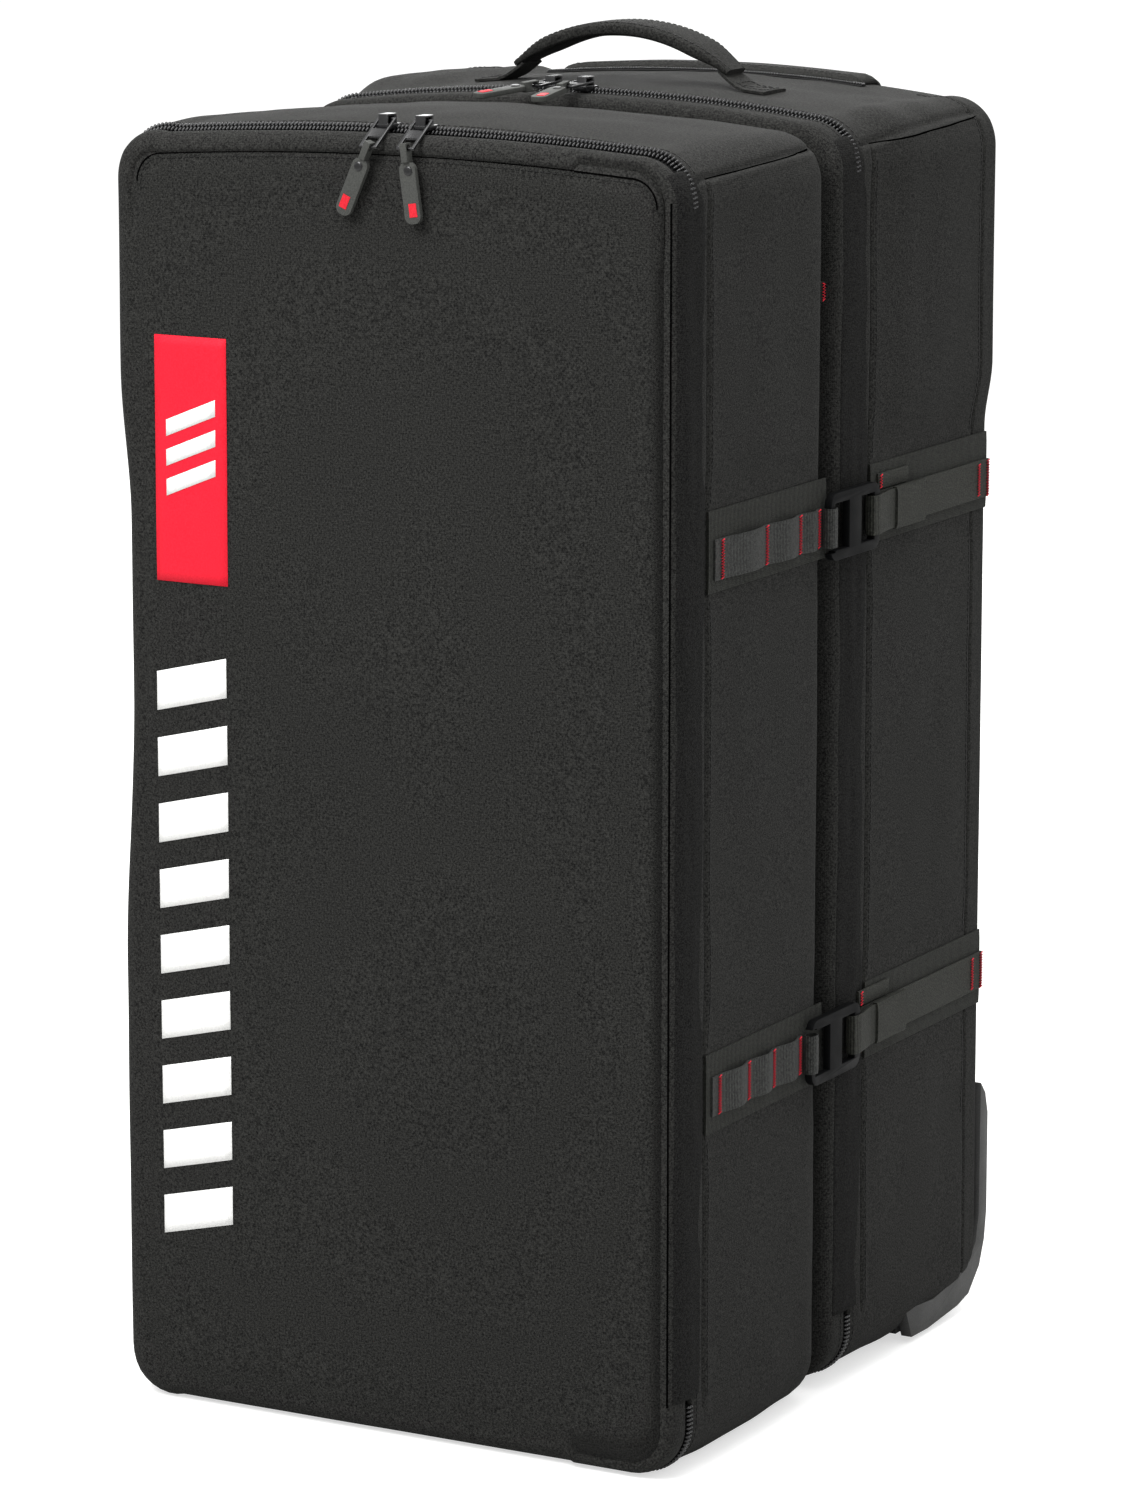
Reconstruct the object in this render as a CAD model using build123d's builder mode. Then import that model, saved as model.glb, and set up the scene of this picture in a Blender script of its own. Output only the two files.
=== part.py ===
from build123d import *
from math import cos, radians, sin
import os

# A wheeled snowboard bag stood on its base: a front section and a rear section that open
# on fabric hinges along their right-hand sides. Depths are measured from the front face
# of the lid and turned into Y by at_depth(). X runs across the bag and Z up from the floor.

os.makedirs("parts", exist_ok=True)

# ---- Driving dimensions, in millimetres ----
DEPTH_CENTRE = 215.0     # depth of the row's Y origin: half way from the pulls to the guards
HALF_WIDTH = 188.5       # half of the body's width
CORNER_R = 30.0          # rounding of the body's four corners
WALL = 4.0               # padded fabric wall

FRONT_BASE = 0.0
FRONT_SIDE_TOP = 784.0
FRONT_CROWN = 790.0
REAR_BASE = 3.0
REAR_SIDE_TOP = 787.0
REAR_CROWN = 797.0

LID_BACK = 17.0          # the lid's rim ends here
FRONT_ZIP = 20.0         # centre of the lid's zip
SHELL_FRONT = 22.0       # front section's gusset starts here
DIVIDER_FRONT = 191.0
DIVIDER_BACK = 195.0
CORE_BACK = 207.0        # core that joins the two sections, inside the groove
CORE_INSET = 16.0
REAR_LID_BACK = 230.0
MID_ZIP = 232.0          # centre of the zip between the sections
REAR_FRONT = 235.0
BACK_FRONT = 424.0
BACK_FACE = 428.0
GUARD_FACE = 440.0
TAPE_INSET = 1.0
TAPE_WALL = 3.0
LID_EDGE_R = 12.0

# Wheel corner
WHEEL_DEPTH = 391.0
WHEEL_R = 38.0
WHEEL_X = 157.0
TYRE_IN_R = 30.1
HUB_R = 30.0
TYRE_WIDTH = 28.0
HUB_WIDTH = 36.0
AXLE_R = 4.0
AXLE_CLEAR = 0.05
AXLE_HEAD_R = 7.0
HOUSING_IN_X = 133.0
HOUSING_OUT_X = 181.0
HOUSING_FRONT = 320.0
HOUSING_TOP = 128.0
HOUSING_WALL = 3.0
ARCH_R = 43.0
CORNER_CUT_X = 128.0     # the fabric is cut away from here out, round the housing
CORNER_CUT_DEPTH = 316.0
CORNER_CUT_TOP = 132.0

# Straps: 50 mm backing bands, 25 mm webbing and a hook at two heights
BAND_T = 1.2
WEB_T = 1.4
WEB_HALF = 12.5
LOOP_RISE = 3.0
HOOK_T = 5.0
HOOK_INNER_X = 192.5
HOOK_LENGTH = 67.0
HOOK_HALF_HEIGHT = 20.5
HOOK_BAR = 7.5           # bar that the rear strap is sewn round
HOOK_FRAME = 42.0        # length of the closed part with the slot
HOOK_ARM = 5.0           # width of the open arm in front
SLOT_LENGTH = 18.0
SLOT_HALF = 14.5
LEVELS = {
    "upper": {"z": 552.0, "hook": 183.0, "tacks": (53.0, 110.0, 154.0, 179.0), "hook_z": 547.0},
    "lower": {"z": 228.0, "hook": 163.0, "tacks": (53.0, 91.0, 124.0, 159.0), "hook_z": 226.0},
}
STRAP_END = 421.0

# Telescopic handle
TUBE_X = 78.0
TUBE_DEPTH = 413.0
OUTER_TUBE = (24.0, 13.0, 56.0, 748.0)
OUTER_BORE = (21.4, 10.4)
MIDDLE_TUBE = (20.6, 9.6, 64.0, 752.0)
MIDDLE_BORE = (18.0, 7.0)
INNER_TUBE = (17.2, 6.2, 72.0, 764.0)
GRIP_HALF = 92.0
GRIP_LOW = 764.0
GRIP_HIGH = 789.0
GRIP_HALF_DEPTH = 7.0
BUTTON_HALF = 18.0
BUTTON_HIGH = 792.5


def at_depth(depth):
    """Y of a depth behind the lid's front face."""
    return depth - DEPTH_CENTRE


def across(depth):
    """Upright plane across the bag at a depth; its sketch axes are X and Z."""
    return Plane(origin=(0, at_depth(depth), 0), x_dir=(1, 0, 0), z_dir=(0, -1, 0))


def block(x, depth, z, mode=Mode.ADD):
    """Box between two limits along each axis."""
    with Locations(((x[0] + x[1]) / 2, at_depth((depth[0] + depth[1]) / 2), (z[0] + z[1]) / 2)):
        Box(x[1] - x[0], depth[1] - depth[0], z[1] - z[0], mode=mode)


def outline(base, side_top, crown, inset=0.0, mode=Mode.ADD):
    """Face of a section: flat base, rounded corners and a crowned top edge."""
    half = HALF_WIDTH - inset
    r = CORNER_R - inset
    bend = r * (1 - 0.5 ** 0.5)
    low = base + inset
    high = side_top - inset
    with BuildLine() as rim:
        Line((-half + r, low), (half - r, low))
        ThreePointArc((half - r, low), (half - bend, low + bend), (half, low + r))
        Line((half, low + r), (half, high - r))
        ThreePointArc((half, high - r), (half - bend, high - bend), (half - r, high))
        ThreePointArc((half - r, high), (0, crown - inset), (-half + r, high))
        ThreePointArc((-half + r, high), (-half + bend, high - bend), (-half, high - r))
        Line((-half, high - r), (-half, low + r))
        ThreePointArc((-half, low + r), (-half + bend, low + bend), (-half + r, low))
    make_face(rim.edges(), mode=mode)


FRONT_SHAPE = (FRONT_BASE, FRONT_SIDE_TOP, FRONT_CROWN)
REAR_SHAPE = (REAR_BASE, REAR_SIDE_TOP, REAR_CROWN)


def ring(shape, front, back, inset, wall):
    """Band of fabric that follows a section's outline between two depths."""
    with BuildSketch(across(front)) as band:
        outline(*shape, inset=inset)
        outline(*shape, inset=inset + wall, mode=Mode.SUBTRACT)
    extrude(band.sketch, amount=front - back)


def slab(shape, front, back, inset=0.0):
    """Full panel of a section's outline between two depths."""
    with BuildSketch(across(front)) as panel:
        outline(*shape, inset=inset)
    extrude(panel.sketch, amount=front - back)


def crown_radius(shape):
    """Radius of the crowned top edge of a section."""
    half = HALF_WIDTH - CORNER_R
    rise = shape[2] - shape[1]
    return (half * half + rise * rise) / (2 * rise)


def crown_z(shape, x):
    """Height of the crowned top edge at X."""
    radius = crown_radius(shape)
    return shape[2] - radius + (radius * radius - x * x) ** 0.5


def crown_strip(shape, x0, x1, front, back, low, high):
    """Strip that lies on the crowned top, between two heights above it."""
    middle = (x0 + x1) / 2
    bottom = [(x, crown_z(shape, x) + low) for x in (x0, middle, x1)]
    top = [(x, crown_z(shape, x) + high) for x in (x1, middle, x0)]
    with BuildSketch(across(front)) as strip:
        with BuildLine():
            ThreePointArc(*bottom)
            Line(bottom[2], top[0])
            ThreePointArc(*top)
            Line(top[2], bottom[0])
        make_face()
    extrude(strip.sketch, amount=front - back)


def save(part, name):
    """Name a sub-part and write it."""
    part.part.label = name
    export_step(part.part, "parts/" + name + ".step")


def cut_wheel_corners():
    """Take the two bottom back corners out of a fabric panel, for the wheel housings."""
    for side in (-1, 1):
        edges = sorted((side * CORNER_CUT_X, side * (HALF_WIDTH + 1)))
        block(edges, (CORNER_CUT_DEPTH, GUARD_FACE), (-1, CORNER_CUT_TOP), mode=Mode.SUBTRACT)


# ---- Rear section: gusset, back panel, board and zip tape ----
CUP_HALF = 104.0
CUP_FRONT = 402.5
CUP_BACK = 423.5
CUP_LOW = 750.0
CUP_FLOOR = 762.0
CUP_HIGH = 787.0

with BuildPart() as rear_gusset:
    ring(REAR_SHAPE, REAR_FRONT, BACK_FRONT, 0, WALL)
    block((HALF_WIDTH - WALL, HALF_WIDTH), (MID_ZIP, REAR_FRONT), (60, 720))
    cut_wheel_corners()
    block((-CUP_HALF - 1, CUP_HALF + 1), (CUP_FRONT - 1, GUARD_FACE), (740, 800), mode=Mode.SUBTRACT)
save(rear_gusset, "rear_gusset")

with BuildPart() as rear_back_panel:
    slab(REAR_SHAPE, BACK_FRONT, BACK_FACE)
    cut_wheel_corners()
save(rear_back_panel, "rear_back_panel")

BOARD_HALF = 165.0
BOARD_Z = (136.0, 740.0)
with BuildPart() as back_board:
    block((-BOARD_HALF, BOARD_HALF), (421.4, 423.6), BOARD_Z)
    fillet(back_board.edges().filter_by(Axis.Y), radius=20)
save(back_board, "back_board")

with BuildPart() as mid_zip_tape_rear:
    ring(REAR_SHAPE, MID_ZIP + 0.3, REAR_FRONT, TAPE_INSET, TAPE_WALL)
    block((HALF_WIDTH - 10, HALF_WIDTH + 1), (MID_ZIP - 5, REAR_FRONT + 5), (55, 725), mode=Mode.SUBTRACT)
save(mid_zip_tape_rear, "mid_zip_tape_rear")


# ---- Front section: gusset, divider with its core, and the rear compartment's lid ----
with BuildPart() as front_gusset:
    ring(FRONT_SHAPE, SHELL_FRONT, DIVIDER_FRONT, 0, WALL)
    block((HALF_WIDTH - WALL, HALF_WIDTH), (FRONT_ZIP - 1, SHELL_FRONT), (60, 720))
save(front_gusset, "front_gusset")

with BuildPart() as divider_panel:
    slab(FRONT_SHAPE, DIVIDER_FRONT, DIVIDER_BACK)
    slab(FRONT_SHAPE, DIVIDER_BACK, CORE_BACK, inset=CORE_INSET)
save(divider_panel, "divider_panel")

with BuildPart() as rear_lid_panel:
    slab(REAR_SHAPE, CORE_BACK, CORE_BACK + WALL)
    ring(REAR_SHAPE, CORE_BACK + WALL, REAR_LID_BACK, 0, WALL)
save(rear_lid_panel, "rear_lid_panel")

with BuildPart() as front_zip_tape_shell:
    ring(FRONT_SHAPE, FRONT_ZIP + 0.3, SHELL_FRONT, TAPE_INSET, TAPE_WALL)
    block((HALF_WIDTH - 10, HALF_WIDTH + 1), (FRONT_ZIP - 5, SHELL_FRONT + 5), (55, 725), mode=Mode.SUBTRACT)
save(front_zip_tape_shell, "front_zip_tape_shell")

with BuildPart() as mid_zip_tape_front:
    ring(REAR_SHAPE, REAR_LID_BACK, MID_ZIP - 0.3, TAPE_INSET, TAPE_WALL)
    block((HALF_WIDTH - 10, HALF_WIDTH + 1), (REAR_LID_BACK - 5, MID_ZIP + 5), (55, 725), mode=Mode.SUBTRACT)
save(mid_zip_tape_front, "mid_zip_tape_front")

# Webbing band and short tab in the groove between the sections
GROOVE_X = HALF_WIDTH - CORE_INSET
with BuildPart() as groove_webbing:
    block((GROOVE_X, GROOVE_X + 3), (196.5, 205.5), (726, 741))
    block((GROOVE_X, GROOVE_X + 9), (199.0, 204.0), (681, 693))
save(groove_webbing, "groove_webbing")


# ---- Front lid ----
with BuildPart() as lid_panel:
    slab(FRONT_SHAPE, 0, WALL)
    ring(FRONT_SHAPE, WALL, LID_BACK, 0, 14)
    face_edges = lid_panel.faces().sort_by(Axis.Y)[0].outer_wire().edges()
    fillet(face_edges, radius=LID_EDGE_R)
save(lid_panel, "lid_panel")

with BuildPart() as front_zip_tape_lid:
    ring(FRONT_SHAPE, LID_BACK, FRONT_ZIP - 0.3, TAPE_INSET, TAPE_WALL)
    block((HALF_WIDTH - 10, HALF_WIDTH + 1), (LID_BACK - 5, FRONT_ZIP + 5), (55, 725), mode=Mode.SUBTRACT)
save(front_zip_tape_lid, "front_zip_tape_lid")


# ---- Side straps: backing bands, daisy webbing, last loops, hooks and rear straps ----
BAND_HALF = 25.0


def sided(side, low, high):
    """X limits of something on the left (-1) or right (1) side of the bag."""
    return tuple(sorted((side * low, side * high)))


with BuildPart() as front_strap_bands:
    for side in (-1, 1):
        for level in LEVELS.values():
            block(
                sided(side, HALF_WIDTH, HALF_WIDTH + BAND_T),
                (38, 191),
                (level["z"] - BAND_HALF, level["z"] + BAND_HALF),
            )
save(front_strap_bands, "front_strap_bands")

with BuildPart() as rear_strap_bands:
    for side in (-1, 1):
        for level in LEVELS.values():
            block(
                sided(side, HALF_WIDTH, HALF_WIDTH + BAND_T),
                (252, 421),
                (level["z"] - BAND_HALF, level["z"] + BAND_HALF),
            )
save(rear_strap_bands, "rear_strap_bands")

WEB_X = HALF_WIDTH + BAND_T


def daisy(side):
    """Webbing with shallow loops between its bar tacks, on one side of the bag."""
    for level in LEVELS.values():
        tacks = level["tacks"]
        z = level["hook_z"]
        plane = Plane(origin=(0, 0, z - WEB_HALF), x_dir=(1, 0, 0), z_dir=(0, 0, 1))
        with BuildSketch(plane) as web:
            with BuildLine():
                Polyline(
                    (side * (WEB_X + WEB_T), at_depth(tacks[0] - 8)),
                    (side * WEB_X, at_depth(tacks[0] - 8)),
                    (side * WEB_X, at_depth(tacks[-1] + 3)),
                    (side * (WEB_X + WEB_T), at_depth(tacks[-1] + 3)),
                )
                Line(
                    (side * (WEB_X + WEB_T), at_depth(tacks[-1] + 3)),
                    (side * (WEB_X + WEB_T), at_depth(tacks[-1])),
                )
                for near, far in zip(tacks[1:], tacks[:-1]):
                    ThreePointArc(
                        (side * (WEB_X + WEB_T), at_depth(near)),
                        (side * (WEB_X + WEB_T + LOOP_RISE), at_depth((near + far) / 2)),
                        (side * (WEB_X + WEB_T), at_depth(far)),
                    )
                Line(
                    (side * (WEB_X + WEB_T), at_depth(tacks[0])),
                    (side * (WEB_X + WEB_T), at_depth(tacks[0] - 8)),
                )
            make_face()
        extrude(web.sketch, amount=2 * WEB_HALF, dir=(0, 0, 1))


with BuildPart() as daisy_webbing_right:
    daisy(1)
save(daisy_webbing_right, "daisy_webbing_right")

with BuildPart() as daisy_webbing_left:
    daisy(-1)
save(daisy_webbing_left, "daisy_webbing_left")

# Each last loop wraps the front bar of its hook
LOOP_X = (191.3, 199.0)
LOOP_T = 0.9
LOOP_LENGTH = 10.5
with BuildPart() as hook_loops:
    for side in (-1, 1):
        for level in LEVELS.values():
            start = level["hook"] - 1.6
            z = (level["hook_z"] - WEB_HALF, level["hook_z"] + WEB_HALF)
            block(sided(side, *LOOP_X), (start, start + LOOP_LENGTH), z)
            block(
                sided(side, LOOP_X[0] + LOOP_T, LOOP_X[1] - LOOP_T),
                (start + LOOP_T, start + LOOP_LENGTH - LOOP_T),
                (z[0] - 1, z[1] + 1),
                mode=Mode.SUBTRACT,
            )
save(hook_loops, "hook_loops")


def g_hook(side, level, gate_up):
    """Flat G-shaped hook: a closed slot for the rear strap, and an open arm in front."""
    start = level["hook"]
    end = start + HOOK_LENGTH
    z = level["hook_z"]
    x = sided(side, HOOK_INNER_X, HOOK_INNER_X + HOOK_T)
    through = (x[0] - 1, x[1] + 1)
    slot_z = (z - SLOT_HALF, z + SLOT_HALF)
    block(x, (start, end), (z - HOOK_HALF_HEIGHT, z + HOOK_HALF_HEIGHT))
    fillet(edges().filter_by(Axis.X), radius=8)
    block(through, (end - HOOK_BAR - SLOT_LENGTH, end - HOOK_BAR), slot_z, mode=Mode.SUBTRACT)
    block(through, (start + HOOK_ARM, end - HOOK_FRAME), slot_z, mode=Mode.SUBTRACT)
    if gate_up:
        gate = (z + 4, z + SLOT_HALF + 1)
    else:
        gate = (z - SLOT_HALF - 1, z - 4)
    block(through, (start - 1, start + HOOK_ARM + 1), gate, mode=Mode.SUBTRACT)


for side, word in ((1, "right"), (-1, "left")):
    for row, level in LEVELS.items():
        with BuildPart() as hook_part:
            g_hook(side, level, row == "lower")
        save(hook_part, "g_hook_" + row + "_" + word)

# Rear straps run from the hooks back to the edge of the rear section
STRAP_X = (WEB_X, WEB_X + 2.4)
FOLD_X = (WEB_X + 2.4, WEB_X + 5.4)
for side, word in ((1, "right"), (-1, "left")):
    for row, level in LEVELS.items():
        start = level["hook"] + HOOK_LENGTH + 6
        z = level["hook_z"]
        with BuildPart() as strap_part:
            block(sided(side, *STRAP_X), (start, STRAP_END), (z - WEB_HALF, z + WEB_HALF))
            block(sided(side, *FOLD_X), (start + 22, start + 62), (z - WEB_HALF, z + WEB_HALF))
        save(strap_part, "strap_" + row + "_" + word)

with BuildPart() as strap_tabs:
    for side in (-1, 1):
        for level in LEVELS.values():
            start = level["hook"] + HOOK_LENGTH + 10
            low = level["hook_z"] + WEB_HALF + 0.5
            block(sided(side, WEB_X, WEB_X + 1.6), (start, start + 42), (low, low + 10))
save(strap_tabs, "strap_tabs")


# ---- Zip sliders with a metal tab and a rubber puller each ----
SLIDER_HALF = 4.0
SLIDER_LIFT = 0.8
TAB_HALF = 6.0
TAB_T = 1.6
PULL_W = 10.5
PULL_LENGTH = 44.0
EYE_R = 2.2


def slider(x, shape, front):
    """Slider body that rides on the crowned top, with a bridge for the tab's bar."""
    base = crown_z(shape, x) + SLIDER_LIFT
    block((x - SLIDER_HALF, x + SLIDER_HALF), (front, front + 16), (base, base + 3))
    block((x - SLIDER_HALF + 0.8, x + SLIDER_HALF - 0.8), (front + 1, front + 12), (base + 3, base + 9))
    block((x - SLIDER_HALF, x + SLIDER_HALF), (front + 2.5, front + 8.5), (base + 3.8, base + 7.6), mode=Mode.SUBTRACT)


def tab(x, start, end):
    """Metal tab from the slider's bridge to the puller: a bar, two rails and a loop."""
    run = (end[0] - start[0], end[1] - start[1])
    length = (run[0] ** 2 + run[1] ** 2) ** 0.5
    along = (0, run[0] / length, run[1] / length)
    origin = (x, at_depth(start[0]), start[1])
    plane = Plane(origin=origin, x_dir=(1, 0, 0), z_dir=(0, -along[2], along[1]))
    reach = 1 if plane.y_dir.dot(Vector(*along)) > 0 else -1
    with BuildSketch(plane) as outline_of_tab:
        with Locations((0, reach * length / 2)):
            Rectangle(2 * TAB_HALF, length + TAB_T)
        with Locations((0, reach * 5.2)):
            Rectangle(2 * TAB_HALF - 3.0, 8.8, mode=Mode.SUBTRACT)
        with Locations((0, reach * (length - 4.6))):
            Rectangle(2 * TAB_HALF - 4.0, 7.6, mode=Mode.SUBTRACT)
    extrude(outline_of_tab.sketch, amount=TAB_T / 2, both=True)


def puller(x, pivot, down, tilt):
    """Rubber puller: an eye round the tab's end bar and a long tag with a rounded end.
    down is the direction in depth and height; tilt turns the tag sideways."""
    lean = radians(tilt)
    flat = (cos(lean), down[0] * sin(lean), down[1] * sin(lean))
    normal = (0, down[1], -down[0])
    frame = Plane(origin=(x, at_depth(pivot[0]), pivot[1]), x_dir=flat, z_dir=normal)
    reach = 1 if frame.y_dir.dot(Vector(0, down[0], down[1])) > 0 else -1
    with BuildSketch(frame) as eye:
        with Locations((0, reach * 2.4)):
            Rectangle(4.0, 11.2)
    extrude(eye.sketch, amount=3.2, both=True)
    with BuildSketch(frame) as tag:
        with Locations((0, reach * (8 + (PULL_LENGTH - 8) / 2))):
            RectangleRounded(PULL_W, PULL_LENGTH - 8, 4.5)
    extrude(tag.sketch, amount=1.6, both=True)
    bar = Plane(origin=frame.origin, x_dir=frame.y_dir, z_dir=frame.x_dir)
    with BuildSketch(bar) as hole:
        Circle(EYE_R)
    extrude(hole.sketch, amount=PULL_W, both=True, mode=Mode.SUBTRACT)


SLIDERS = {
    "front_left": {"x": -11.0, "shape": FRONT_SHAPE, "front": 9.0, "tilt": 24.0},
    "front_right": {"x": 14.0, "shape": FRONT_SHAPE, "front": 9.0, "tilt": -8.0},
    "mid_left": {"x": -18.0, "shape": REAR_SHAPE, "front": 223.0, "tilt": 24.0},
    "mid_right": {"x": 4.0, "shape": REAR_SHAPE, "front": 223.0, "tilt": -6.0},
}
for name, place in SLIDERS.items():
    x = place["x"]
    top = crown_z(place["shape"], x) + SLIDER_LIFT
    start = (place["front"] + 5.5, top + 5.7)
    if name.startswith("front"):
        end = (-6.8, top - 8.6)
        down = (0, -1)
    else:
        end = (place["front"] - 20.0, top + 4.5)
        down = (-0.995, -0.0999)
    with BuildPart() as slider_part:
        slider(x, place["shape"], place["front"])
    save(slider_part, "slider_" + name)
    with BuildPart() as tab_part:
        tab(x, start, end)
    save(tab_part, "tab_" + name)
    with BuildPart() as puller_part:
        puller(x, end, down, place["tilt"])
    save(puller_part, "puller_" + name)


# ---- Carry handle on top, and its sewn anchor patches ----
HANDLE_DEPTH = (276.0, 310.0)
HANDLE_HALF = 76.0
HANDLE_PAD = 50.0
HANDLE_PEAK = 840.0
HANDLE_FOOT = 811.0
HANDLE_T = 9.0

with BuildPart() as carry_handle:
    with BuildSketch(across(HANDLE_DEPTH[0])):
        with BuildLine():
            ThreePointArc((-HANDLE_HALF, HANDLE_FOOT), (0, HANDLE_PEAK), (HANDLE_HALF, HANDLE_FOOT))
            Line((HANDLE_HALF, HANDLE_FOOT), (HANDLE_HALF - 6, HANDLE_FOOT - 5))
            ThreePointArc(
                (HANDLE_HALF - 6, HANDLE_FOOT - 5),
                (0, HANDLE_PEAK - HANDLE_T),
                (-HANDLE_HALF + 6, HANDLE_FOOT - 5),
            )
            Line((-HANDLE_HALF + 6, HANDLE_FOOT - 5), (-HANDLE_HALF, HANDLE_FOOT))
        make_face()
    extrude(amount=HANDLE_DEPTH[0] - HANDLE_DEPTH[1])
    middle = at_depth(sum(HANDLE_DEPTH) / 2)
    with BuildSketch(Plane.XY.offset(HANDLE_FOOT - 20)):
        with BuildLine():
            Polyline(
                (-HANDLE_HALF, middle - 7),
                (-HANDLE_PAD, middle - 17),
                (HANDLE_PAD, middle - 17),
                (HANDLE_HALF, middle - 7),
                (HANDLE_HALF, middle + 7),
                (HANDLE_PAD, middle + 17),
                (-HANDLE_PAD, middle + 17),
                (-HANDLE_HALF, middle + 7),
                close=True,
            )
        make_face()
    extrude(amount=80, mode=Mode.INTERSECT)
save(carry_handle, "carry_handle")

with BuildPart() as handle_anchor_patches:
    crown_strip(REAR_SHAPE, 70, 102, 279, 307, 0.1, 2.6)
    crown_strip(REAR_SHAPE, -102, -70, 279, 307, 0.1, 2.6)
save(handle_anchor_patches, "handle_anchor_patches")


# ---- Telescopic handle: cup, tubes, grip, button and foot ----
def tube_pair(outer, bore):
    """Two upright tubes; outer is width, depth, bottom and top."""
    for side in (-1, 1):
        x = side * TUBE_X
        block(
            (x - outer[0] / 2, x + outer[0] / 2),
            (TUBE_DEPTH - outer[1] / 2, TUBE_DEPTH + outer[1] / 2),
            (outer[2], outer[3]),
        )
        if bore:
            block(
                (x - bore[0] / 2, x + bore[0] / 2),
                (TUBE_DEPTH - bore[1] / 2, TUBE_DEPTH + bore[1] / 2),
                (outer[2] - 1, outer[3] + 1),
                mode=Mode.SUBTRACT,
            )


with BuildPart() as trolley_outer_tubes:
    tube_pair(OUTER_TUBE, OUTER_BORE)
save(trolley_outer_tubes, "trolley_outer_tubes")

with BuildPart() as trolley_middle_tubes:
    tube_pair(MIDDLE_TUBE, MIDDLE_BORE)
save(trolley_middle_tubes, "trolley_middle_tubes")

with BuildPart() as trolley_inner_tubes:
    tube_pair(INNER_TUBE, None)
save(trolley_inner_tubes, "trolley_inner_tubes")

with BuildPart() as trolley_top_cup:
    block((-CUP_HALF, CUP_HALF), (CUP_FRONT, CUP_BACK), (CUP_LOW, CUP_HIGH))
    fillet(trolley_top_cup.edges().filter_by(Axis.Z), radius=4)
    block((-GRIP_HALF - 2, GRIP_HALF + 2), (405.0, 421.0), (CUP_FLOOR, CUP_HIGH + 1), mode=Mode.SUBTRACT)
    for side in (-1, 1):
        x = side * TUBE_X
        half = OUTER_BORE[0] / 2
        deep = OUTER_BORE[1] / 2
        block((x - half, x + half), (TUBE_DEPTH - deep, TUBE_DEPTH + deep), (740, 770), mode=Mode.SUBTRACT)
save(trolley_top_cup, "trolley_top_cup")

with BuildPart() as trolley_grip:
    block(
        (-GRIP_HALF, GRIP_HALF),
        (TUBE_DEPTH - GRIP_HALF_DEPTH, TUBE_DEPTH + GRIP_HALF_DEPTH),
        (GRIP_LOW, GRIP_HIGH),
    )
    fillet(trolley_grip.edges().filter_by(Axis.X), radius=4)
    block(
        (-BUTTON_HALF - 0.4, BUTTON_HALF + 0.4),
        (TUBE_DEPTH - 4.4, TUBE_DEPTH + 4.4),
        (GRIP_HIGH - 9, GRIP_HIGH + 1),
        mode=Mode.SUBTRACT,
    )
save(trolley_grip, "trolley_grip")

with BuildPart() as release_button:
    block((-BUTTON_HALF, BUTTON_HALF), (TUBE_DEPTH - 4, TUBE_DEPTH + 4), (GRIP_HIGH - 5.5, BUTTON_HIGH))
    fillet(release_button.faces().sort_by(Axis.Z)[-1].edges(), radius=1.5)
save(release_button, "release_button")

with BuildPart() as trolley_foot_bracket:
    block((-104, 104), (404, 423.5), (34, OUTER_TUBE[2]))
    fillet(trolley_foot_bracket.edges().filter_by(Axis.Y), radius=5)
save(trolley_foot_bracket, "trolley_foot_bracket")


# ---- Zipped cover over the telescopic handle ----
COVER_HALF = 108.0
COVER_LOW = 742.0
with BuildPart() as handle_cover:
    crown_strip(REAR_SHAPE, -COVER_HALF, COVER_HALF, 399, 431.6, 3.8, 6.4)
    edge_z = crown_z(REAR_SHAPE, COVER_HALF)
    with BuildSketch(across(428.6)):
        with BuildLine():
            Line((-COVER_HALF, COVER_LOW), (COVER_HALF, COVER_LOW))
            Line((COVER_HALF, COVER_LOW), (COVER_HALF, edge_z + 5))
            ThreePointArc((COVER_HALF, edge_z + 5), (0, REAR_CROWN + 5), (-COVER_HALF, edge_z + 5))
            Line((-COVER_HALF, edge_z + 5), (-COVER_HALF, COVER_LOW))
        make_face()
    extrude(amount=-3.0)
save(handle_cover, "handle_cover")

with BuildPart() as cover_zip_tape:
    crown_strip(REAR_SHAPE, -COVER_HALF - 6, COVER_HALF + 6, 392, 397.5, 0.1, 2.4)
    for side in (-1, 1):
        block(sided(side, COVER_HALF + 1, COVER_HALF + 6), (428.1, 430.3), (COVER_LOW + 4, 783))
save(cover_zip_tape, "cover_zip_tape")

with BuildPart() as cover_slider:
    block((COVER_HALF + 0.8, COVER_HALF + 7.8), (430.7, 434.2), (COVER_LOW + 5, COVER_LOW + 17))
    block((COVER_HALF + 2.3, COVER_HALF + 6.3), (434.2, 435.6), (COVER_LOW - 12, COVER_LOW + 14))
save(cover_slider, "cover_slider")


# ---- Wheels, axles, housings and guards at the bottom back corners ----
def wheel_plane(x):
    """Plane square to the axles at X; its sketch axes are Y and Z."""
    return Plane(origin=(x, 0, 0), x_dir=(0, 1, 0), z_dir=(1, 0, 0))


WHEEL_AT = (at_depth(WHEEL_DEPTH), WHEEL_R)


def disc(x0, x1, radius, mode=Mode.ADD):
    """Round disc on the wheel's axis between two X positions."""
    with BuildSketch(wheel_plane(x0)) as circle:
        with Locations(WHEEL_AT):
            Circle(radius)
    extrude(circle.sketch, amount=x1 - x0, mode=mode)


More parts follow.
